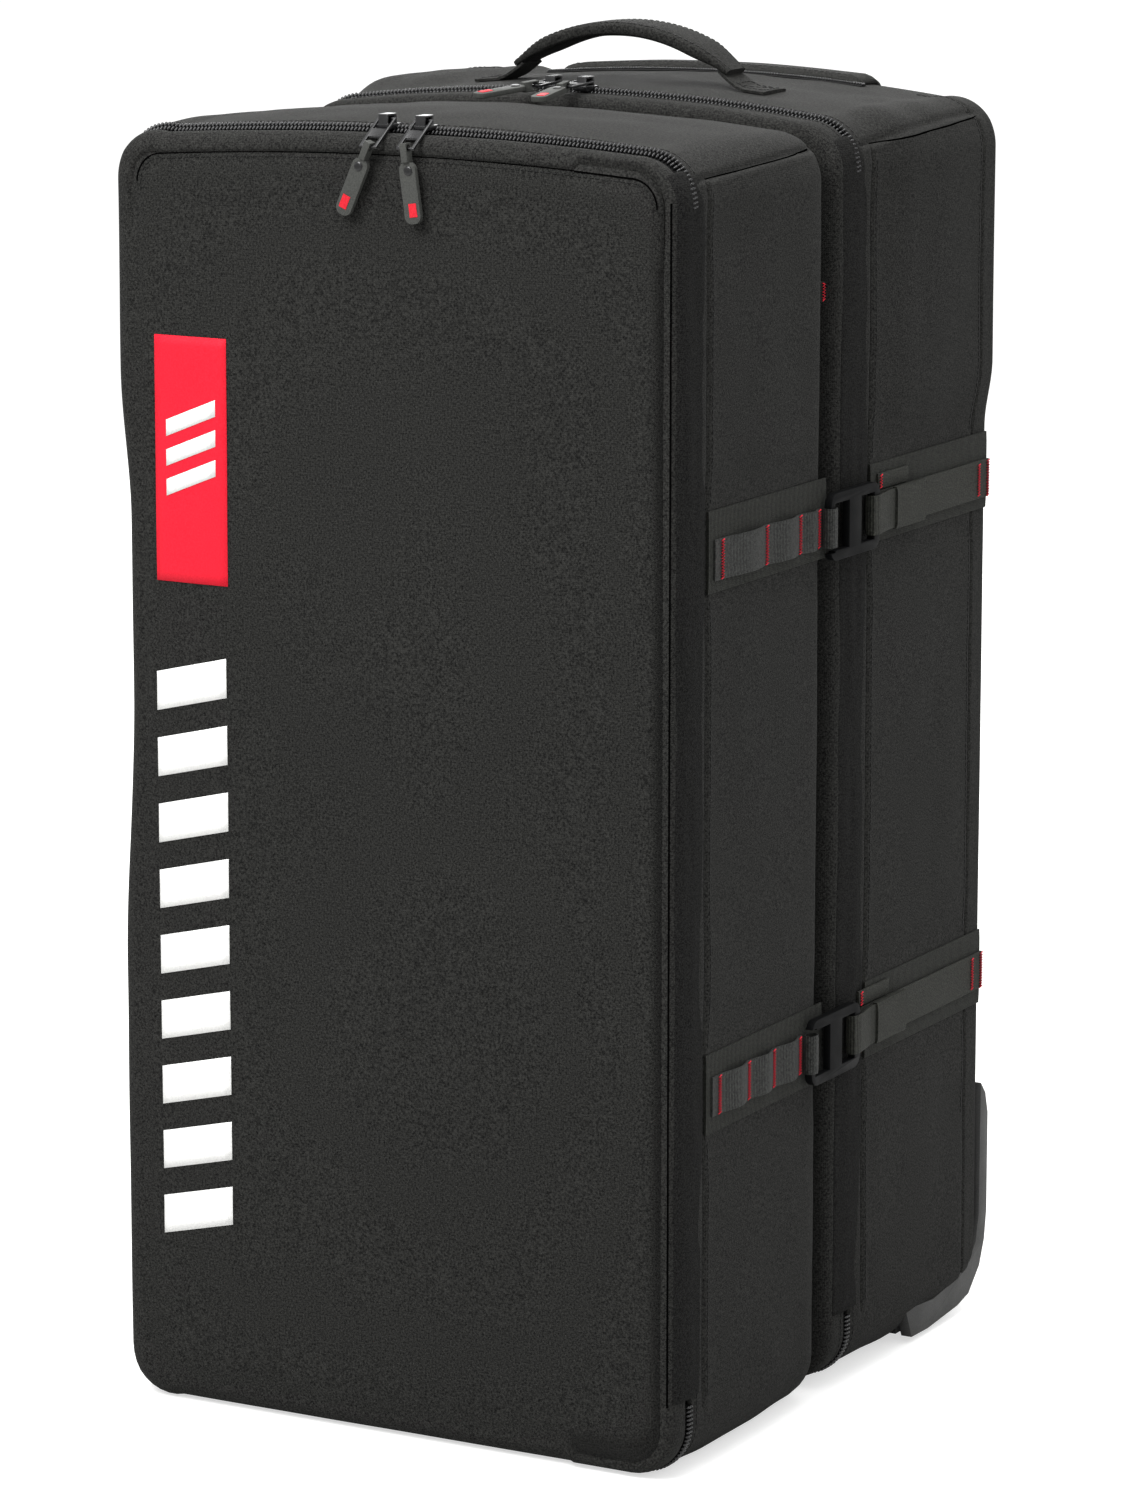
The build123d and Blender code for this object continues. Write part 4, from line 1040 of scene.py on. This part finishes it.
LEVELS = {
    "upper": {"z": 552.0, "hook": 183.0, "tacks": (53.0, 110.0, 154.0, 179.0), "hook_z": 547.0,
              "bend": (264.0, 250.0)},
    "lower": {"z": 228.0, "hook": 163.0, "tacks": (53.0, 91.0, 124.0, 159.0), "hook_z": 226.0,
              "bend": (246.0, 232.0)},
}
HOOK_LENGTH, HOOK_BAR = 67.0, 7.5
WEB_X, BAND_X = 189.7, 188.5
UP = (0.0, 0.0, 1.0)


def bands(name, body, start, end, node):
    """Wide ribbed webbing sewn flat on the wall, both heights and sides."""
    made = []
    for side in (-1, 1):
        for level in LEVELS.values():
            x = side * (BAND_X + 0.45)
            made.append(ribbon("band", line((x, start, level["z"]), (x, end, level["z"]), 24), UP, 25, 1.7, BAND))
    settle(joined(name, made), body, "webbing_dark", node)


bands("front_bands", "front_bag", 38, 191, "front_strap_bands")
bands("rear_bands", "rear_bag", 252, 421, "rear_strap_bands")

for side, word in ((1, "right"), (-1, "left")):
    made, tacks = [], []
    for level in LEVELS.values():
        marks = level["tacks"]
        flat_x = side * (WEB_X + 0.7)
        path = [(flat_x, marks[0] - 9, level["hook_z"])]
        for near, far in zip(marks[:-1], marks[1:]):
            steps = max(8, int((far - near) / 2.5))
            for i in range(steps):
                share = (i / steps) ** 1.35
                rise = 3.1 * min(1, (far - near) / 30) * math.sin(math.pi * share) ** 1.5
                path.append((side * (WEB_X + 0.7 + rise), near + (far - near) * i / steps, level["hook_z"]))
        path += [(flat_x, marks[-1], level["hook_z"]), (flat_x, marks[-1] + 3, level["hook_z"])]
        made.append(ribbon("daisy", path, UP, 12.5, 1.4, DAISY))
        tacks += [(side * (WEB_X + 1.75), d, level["hook_z"], 3.4, 23.0) for d in marks]
    settle(joined(f"daisy_loops_{word}", made), "front_bag", "webbing_grey", f"daisy_webbing_{word}")
    bar_tacks(f"front_bar_tacks_{word}", "front_bag", tacks, "webbing_grey")

# The last loop of each row goes round the front arm of its hook
made = []
for side in (-1, 1):
    for level in LEVELS.values():
        start, z = level["hook"], level["hook_z"]
        ring = []
        for i in range(29):
            turn = 2 * math.pi * i / 28
            ring.append((side * (195.15 + 3.55 * math.sin(turn)),
                         start + 3.6 - 4.9 * math.copysign(abs(math.cos(turn)) ** 0.8, math.cos(turn)), z))
        made.append(ribbon("loop", ring, UP, 12.3, 0.9, DAISY))
settle(joined("hook_loop_webbing", made), "front_bag", "webbing_grey", "hook_loops")

for side, word in ((1, "right"), (-1, "left")):
    rear_tacks = []
    for row, level in LEVELS.items():
        end, z = level["hook"] + HOOK_LENGTH, level["hook_z"]
        start = end + 6
        bar = end - HOOK_BAR / 2
        path = line((side * 193.6, start + 62, z), (side * 194.4, start + 30, z), 8)
        path += [(side * 194.6, start + 22, z), (side * 195.0, start + 12, z), (side * 196.6, start + 3, z),
                 (side * 198.2, end - 1, z), (side * 198.4, bar, z), (side * 197.6, end - HOOK_BAR - 1.2, z),
                 (side * 195.0, end - HOOK_BAR - 2.2, z), (side * 192.4, end - HOOK_BAR - 1.2, z),
                 (side * 191.4, bar, z), (side * 191.0, end, z)]
        path += line((side * 190.9, start, z), (side * 190.9, 421, z), 30)
        strap = ribbon(f"strap_{row}_{word}", path, UP, 12.5, 1.4, STRAP)
        strap.name = f"strap_webbing_{row}_{word}"
        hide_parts(f"strap_{row}_{word}")
        back, front = level["bend"]
        metres([(side * 190, back, z)])[0].tolist()
        metres([(side * 190, front, z)])[0].tolist()
        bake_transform(strap)
        rear_tacks += [(side * 192.0, 419.0, z, 4.0, 23.0), (side * 192.2, 405.0, z, 3.0, 20.0)]
        rear_tacks.append((side * 191.9, end + 13, z + 18, 3.0, 8.0))
        fold = line((side * 194.9, start + 20, z), (side * 194.9, start + 61, z), 14)
        keeper = ribbon(f"strap_end_{row}_{word}", fold, UP, 13.2, 4.4, STRAP, sides=12)
        settle(keeper, "rear_bag", "webbing_dark")
    bar_tacks(f"rear_bar_tacks_{word}", "rear_bag", rear_tacks)

made = []
for side in (-1, 1):
    for level in LEVELS.values():
        start, z = level["hook"] + HOOK_LENGTH + 10, level["hook_z"] + 18
        x = side * (WEB_X + 0.8)
        made.append(ribbon("tab", line((x, start, z), (x, start + 42, z), 8), UP, 5.0, 1.6, STRAP))
settle(joined("strap_tab_webbing", made), "rear_bag", "webbing_dark", "strap_tabs")

for row in LEVELS:
    for word in ("right", "left"):
        hook = from_frame(f"g_hook_{row}_{word}", HOOK, f"hook_{row}_{word}_plate", 1.3, 3)
        settle(hook, f"hook_{row}_{word}", "hook_grey", f"g_hook_{row}_{word}")

# Band and short tab in the groove between the sections
web = from_frame("groove_webbing", BAND, "groove_band", 0.5)
settle(web, "front_bag", "webbing_dark", "groove_webbing")
bar_tacks("groove_tab_tack", "front_bag", [(182.0, 201.5, 687.0, 3.4, 10.5)])


# ---------------------------------------------------------------- sliders and pullers

MID_PULLER_NORMAL = (0.0, -0.0999, 0.995)


def axis_of(node):
    """Middle and long direction of a flat puller, and its points, from its own mesh in mm."""
    points = np.array([v.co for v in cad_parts[node].data.vertices]) * 1000
    points[:, 1] += DEPTH_CENTRE
    middle = (points.min(axis=0) + points.max(axis=0)) / 2
    _, _, axes = np.linalg.svd(points - points.mean(axis=0))
    return middle, axes[0], points


def disc(name, centre, normal, radius, high, material, sides=20):
    """Low dome, such as a rivet's head."""
    normal = np.array(normal) / np.linalg.norm(normal)
    side = np.cross(normal, (1.0, 0.0, 0.0) if abs(normal[0]) < 0.9 else (0.0, 0.0, 1.0))
    side /= np.linalg.norm(side)
    other = np.cross(normal, side)
    points, faces = [], []
    for share, rise in ((1.0, -0.4), (1.0, 0.35), (0.86, 0.7), (0.5, 0.94)):
        for i in range(sides):
            turn = 2 * math.pi * i / sides
            points.append(np.array(centre) + radius * share * (side * math.cos(turn) + other * math.sin(turn))
                          + normal * high * rise)
    for r in range(3):
        faces += [(r * sides + i, r * sides + (i + 1) % sides, (r + 1) * sides + (i + 1) % sides, (r + 1) * sides + i)
                  for i in range(sides)]
    faces += [tuple(range(sides - 1, -1, -1)), tuple(range(3 * sides, 4 * sides))]
    obj = piece(name, np.array(points), faces, [material])
    outward(obj)
    smooth_by_angle(obj.data, 50.0)
    return obj


for name in ("front_left", "front_right", "mid_left", "mid_right"):
    for kind, radius in (("slider", 0.5), ("tab", 0.45)):
        node = f"{kind}_{name}"
        settle(from_frame(node, ENAMEL, f"{name}_{kind}", radius), node, "metal_black", node)
    grip = from_frame(f"puller_{name}", RUBBER, f"{name}_puller", 0.7, 3)
    middle, run, points = axis_of(f"puller_{name}")
    on_front = name.startswith("front")
    if run[2 if on_front else 1] > 0:
        run = -run
    normal = np.array((0.0, -1.0, 0.0) if on_front else MID_PULLER_NORMAL)
    run -= normal * run.dot(normal)
    run /= np.linalg.norm(run)
    far = ((points - middle) @ run).max()
    tag = middle + run * (far - 18)
    tag -= normal * (tag - points.mean(axis=0)).dot(normal)
    settle(grip, f"puller_{name}", "puller_rubber", f"puller_{name}")
    rivet = disc(f"{name}_rivet", tag - run * 13 + normal * 1.6, normal, 2.8, 0.9, ENAMEL)
    settle(rivet, f"puller_{name}", "metal_black")
    side = np.cross(run, normal)
    inlay = [tag + run * (6 + a) + normal * 1.72 for a in (0.0, 2.0, 4.0, 6.0, 8.0)]
    mark = ribbon(f"{name}_inlay", inlay, side, 2.6, 0.5, RUBBER_MARK)
    settle(mark, f"puller_{name}", "puller_rubber")


# ---------------------------------------------------------------- carry handle and its tails

def crown_z(shape, x):
    half = HALF_WIDTH - CORNER_R
    rise = shape[2] - shape[1]
    radius = (half * half + rise * rise) / (2 * rise)
    return shape[2] - radius + math.sqrt(radius * radius - x * x)


HANDLE_DEPTH, HANDLE_END = 293.0, 75.0
grip_path, grip_half, grip_thick = [], [], []
for i in range(49):
    x = HANDLE_END * (i / 24 - 1)
    lifted = 832.5 - 24.5 * (abs(x) / HANDLE_END) ** 2.1
    grip_path.append((x, HANDLE_DEPTH, lifted))
    taper = window(abs(x), -1, 50, 27)
    grip_half.append(12.0 + 5.8 * taper)
    grip_thick.append(4.2 + 5.2 * taper)
handle = ribbon("carry_handle_pad", grip_path, (0, 1, 0), grip_half, grip_thick, CLOTH, sides=20)
settle(handle, "carry_handle", "fabric_black", "carry_handle")
edge_lines = []
for way in (-1, 1):
    points = [(x, d + way * (h - 3.0), z + t) for (x, d, z), h, t in zip(grip_path, grip_half, grip_thick)]
    edge_lines.append((points, (0.0, 0.0, -1.0)))
sewn("carry_handle_stitching", "carry_handle", "fabric_black", tree_of(handle), edge_lines, lift=0.1)

patches = []
for way in (-1, 1):
    path = []
    for i in range(22):
        share = i / 21
        x = HANDLE_END + 27 - 33 * share
        settled = lay(rear_tree, [(way * x, HANDLE_DEPTH, 800.0)], (0.0, 0.0, -1.0), 1.1)[0][2]
        rise = max(0.0, (share - 0.45) / 0.55) ** 1.6
        path.append((way * x, HANDLE_DEPTH, settled * (1 - rise) + 808.6 * rise))
    half = [15.5 - 3.0 * max(0.0, (i / 21 - 0.4) / 0.6) for i in range(22)]
    tail = ribbon(f"handle_tail_{'left' if way < 0 else 'right'}", path, (0, 1, 0), half, 2.6, CLOTH)
    if way > 0:
        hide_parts("handle_anchor_patches")
    metres([(0, HANDLE_DEPTH, 797)])[0].tolist()
    metres([(0, HANDLE_DEPTH, 808)])[0].tolist()
    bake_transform(tail)
    x = way * (HANDLE_END + 15)
    crossed_box = ((-9, -9), (9, -9), (9, 9), (-9, 9), (-9, -9), (9, 9))
    box_line = [(x + across, HANDLE_DEPTH + along, 800) for across, along in crossed_box]
    patches.append((box_line, (0.0, 0.0, -1.0), tree_of(tail)))
for number, (points, aim, tree) in enumerate(patches):
    fine = [p for a, b in zip(points, points[1:]) for p in line(a, b, 6)[:-1]] + [points[-1]]
    sewn(f"tail_stitching_{number + 1}", "rear_bag", "webbing_dark", tree, [(fine, aim)])


# ---------------------------------------------------------------- cover over the telescopic handle

def make_cover():
    """Padded flap over the handle's cup: it lies on the crown, turns a soft corner and hangs
    down the back."""
    path = [(400.0, 0.0), (402.0, 2.6)] + [(d, 4.6) for d in np.linspace(405, 422, 6)]
    path += [(422 + 9 * math.sin(t), 4.6 - 9 * (1 - math.cos(t))) for t in np.linspace(0.2, math.pi / 2, 6)]
    drops = list(np.linspace(10, 52, 14))
    rows, xs = [], np.linspace(-COVER_HALF, COVER_HALF, 55)
    for depth, rise in path:
        rows.append([(x, depth, crown_z(REAR_SHAPE, x) + rise) for x in xs])
    for drop in drops:
        depth = 431.0 - 0.6 * math.sin(drop / 52 * math.pi)
        rows.append([(x, depth, crown_z(REAR_SHAPE, x) + 4.6 - drop) for x in xs])
    grid = np.array(rows)
    for r in range(grid.shape[0]):
        edge = np.clip((COVER_HALF - np.abs(xs)) / 8, 0, 1) ** 0.5
        grid[r, :, 2] -= (1 - edge) * (3.6 if r < 12 else 0.0)
        grid[r, :, 1] -= (1 - edge) * (0.0 if r < 12 else 1.5)
    grid[:, :, 2] += 0.35 * wander(grid.reshape(-1, 3), 40, 40.0).reshape(grid.shape[:2])
    grid[-1, :, 2] = 743.0
    rows_n, m = grid.shape[:2]
    faces = [(r * m + c, r * m + c + 1, (r + 1) * m + c + 1, (r + 1) * m + c)
             for r in range(rows_n - 1) for c in range(m - 1)]
    flat = grid.reshape(-1, 3)
    lengths = np.concatenate([[0], np.cumsum(np.linalg.norm(np.diff(grid[:, m // 2], axis=0), axis=1))]) / 1000
    uv = [(flat[i][0] / 1000, lengths[i // m]) for f in faces for i in f]
    obj = piece("handle_cover_flap", flat, faces, [CLOTH, LINING], uv)
    thick = obj.modifiers.new("padding", "SOLIDIFY")
    thick.thickness = 0.0024
    thick.offset = 0.0
    thick.material_offset = 1
    bake(obj)
    outward(obj)
    return obj


cover = make_cover()
cover_tree = tree_of(cover)
settle(cover, "handle_cover", "fabric_black", "handle_cover")
cover_stitching = sewn("handle_cover_stitching", "handle_cover", "fabric_black", cover_tree,
     [([(x, 406.5, 820) for x in np.arange(-98, 99, 4)], (0.0, 0.0, -1.0)),
      ([(-100, 440, z) for z in np.arange(750, 792, 4)], (0.0, -1.0, 0.0)),
      ([(100, 440, z) for z in np.arange(750, 792, 4)], (0.0, -1.0, 0.0))])

# The flap and its stitching each get a mesh of their own.
bag_back = tuple(metres([(0.0, 431.5, 790.0)])[0].tolist())
for part in (cover, cover_stitching):
    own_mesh(part)

# U-shaped zip round the cover
over = [(x, 394.8, crown_z(REAR_SHAPE, x) + 1.0) for x in np.linspace(-113, 113, 60)]
cover_tape = ribbon("cover_zip_run", over, (0, 1, 0), 3.4, 1.8, TAPE)
side_tapes = [ribbon("side", line((w * 112.2, 429.2, 784), (w * 112.2, 429.2, 746), 12), (1, 0, 0), 3.4, 1.6, TAPE)
              for w in (-1, 1)]
settle(joined("cover_zip_tapes", [cover_tape] + side_tapes), "rear_bag", "zip_tape", "cover_zip_tape")
paths = [(np.array(over) + (0, 0, 1.2), (0, 0, 1)),
         (line((-112.2, 430.3, 784), (-112.2, 430.3, 746), 12), (0, 1, 0)),
         (line((112.2, 430.3, 784), (112.2, 430.3, 746), 12), (0, 1, 0))]
turns = rod(4.6, 1.1, 1.8, 6, 0.3)
turns.data.transform(Matrix.Rotation(math.pi / 2, 4, "Z"))
settle(repeat("cover_zip_coil", paths, turns, 1.8, COIL, 0.04, 6), "rear_bag", "zip_tape")
settle(from_frame("cover_slider", ENAMEL, "cover_zip_slider", 0.4), "cover_slider", "metal_black", "cover_slider")


# ---------------------------------------------------------------- hard parts

HARD = {
    "trolley_outer_tubes": (ALUMINIUM, "rear_bag", "tube_aluminium", 0.4),
    "trolley_middle_tubes": (ALUMINIUM, "trolley_middle", "tube_aluminium", 0.4),
    "trolley_inner_tubes": (ALUMINIUM, "trolley_inner", "tube_aluminium", 0.4),
    "trolley_top_cup": (HOUSING, "rear_bag", "housing_black", 0.8),
    "trolley_grip": (GRIP, "trolley_inner", "grip_black", 2.0),
    "release_button": (BUTTON, "release_button", "button_grey", 0.5),
    "trolley_foot_bracket": (HOUSING, "rear_bag", "housing_black", 1.0),
    "back_board": (BOARD, "rear_bag", "board_black", 0.4),
    "wheel_axles": (STEEL, "rear_bag", "axle_steel", 0.5),
}
for side in ("right", "left"):
    HARD[f"wheel_housing_{side}"] = (HOUSING, "rear_bag", "housing_black", 1.2)
    HARD[f"corner_guard_{side}"] = (GUARD, "rear_bag", "guard_grey", 2.0)
    HARD[f"hub_{side}"] = (HUB, f"wheel_{side}", "hub_grey", 0.8)
    HARD[f"tyre_{side}"] = (TYRE, f"wheel_{side}", "tyre_black", 0.4)
for node, (material, body, slot_name, radius) in HARD.items():
    settle(from_frame(node, material, f"{node}_finished", radius), body, slot_name, node)


# ---------------------------------------------------------------- camera, floor and light

def aimed(obj, spot):
    """Turn a lamp or camera to face a spot."""
    obj.rotation_euler = (Vector(spot) - obj.location).to_track_quat("-Z", "Y").to_euler()


def lamp(name, place, spot, size, power):
    light = bpy.data.lights.new(name, "AREA")
    light.shape = "SQUARE"
    light.size = size
    light.energy = power
    obj = bpy.data.objects.new(name, light)
    bpy.context.scene.collection.objects.link(obj)
    obj.location = place
    aimed(obj, spot)


def seen_brighter(tree, socket, unseen, seen):
    """Set a brightness that is one value to the camera and another to the light on the object."""
    path = add(tree, "ShaderNodeLightPath")
    level = add(tree, "ShaderNodeMapRange", {"To Min": unseen, "To Max": seen},
                {"Value": path.outputs["Is Camera Ray"]})
    tree.links.new(level.outputs[0], socket)


FLOOR_PAINT = grained("matt_pale_floor", "#c4c4c3", "#c9c9c8", 3.0, 0.02, Roughness=0.95,
                      Emission_Color=colour("#ffffff"))
floor_shader = FLOOR_PAINT.node_tree.nodes["Principled BSDF"]
seen_brighter(FLOOR_PAINT.node_tree, floor_shader.inputs["Emission Strength"], 0.0, 0.6)
FLOOR_HALF = 30000.0
corners = [(x * FLOOR_HALF, y * FLOOR_HALF, -1.0) for x, y in ((-1, -1), (1, -1), (1, 1), (-1, 1))]
floor = piece("studio_floor", corners, [(0, 1, 2, 3)], [FLOOR_PAINT], smooth=False)

world = bpy.data.worlds.new("studio")
bpy.context.scene.world = world
world.use_nodes = True
world.node_tree.nodes["Background"].inputs["Color"].default_value = colour("#ffffff")
background = world.node_tree.nodes["Background"]
seen_brighter(world.node_tree, background.inputs["Strength"], 0.78, 1.08)
lamp("front_softbox", (-0.4, -1.8, 2.4), (0, 0, 0.75), 1.2, 62)
lamp("side_softbox", (2.2, -0.4, 2.4), (0, 0.1, 0.7), 1.4, 9)
lamp("top_softbox", (0.2, 0.2, 3.4), (0, 0, 0.4), 2.6, 95)
lamp("rear_softbox", (-1.8, 3.2, 1.8), (0.0, 0.1, 0.4), 2.0, 45)

camera_data = bpy.data.cameras.new("camera")
camera_data.sensor_width = 36.0
camera_data.lens = 140.3
camera = bpy.data.objects.new("camera", camera_data)
bpy.context.scene.collection.objects.link(camera)
camera.location = (1.727, -3.146, 1.096)
aimed(camera, (0.0175, -0.0395, 0.396))
bpy.context.scene.camera = camera
bpy.context.scene.view_settings.view_transform = "Standard"
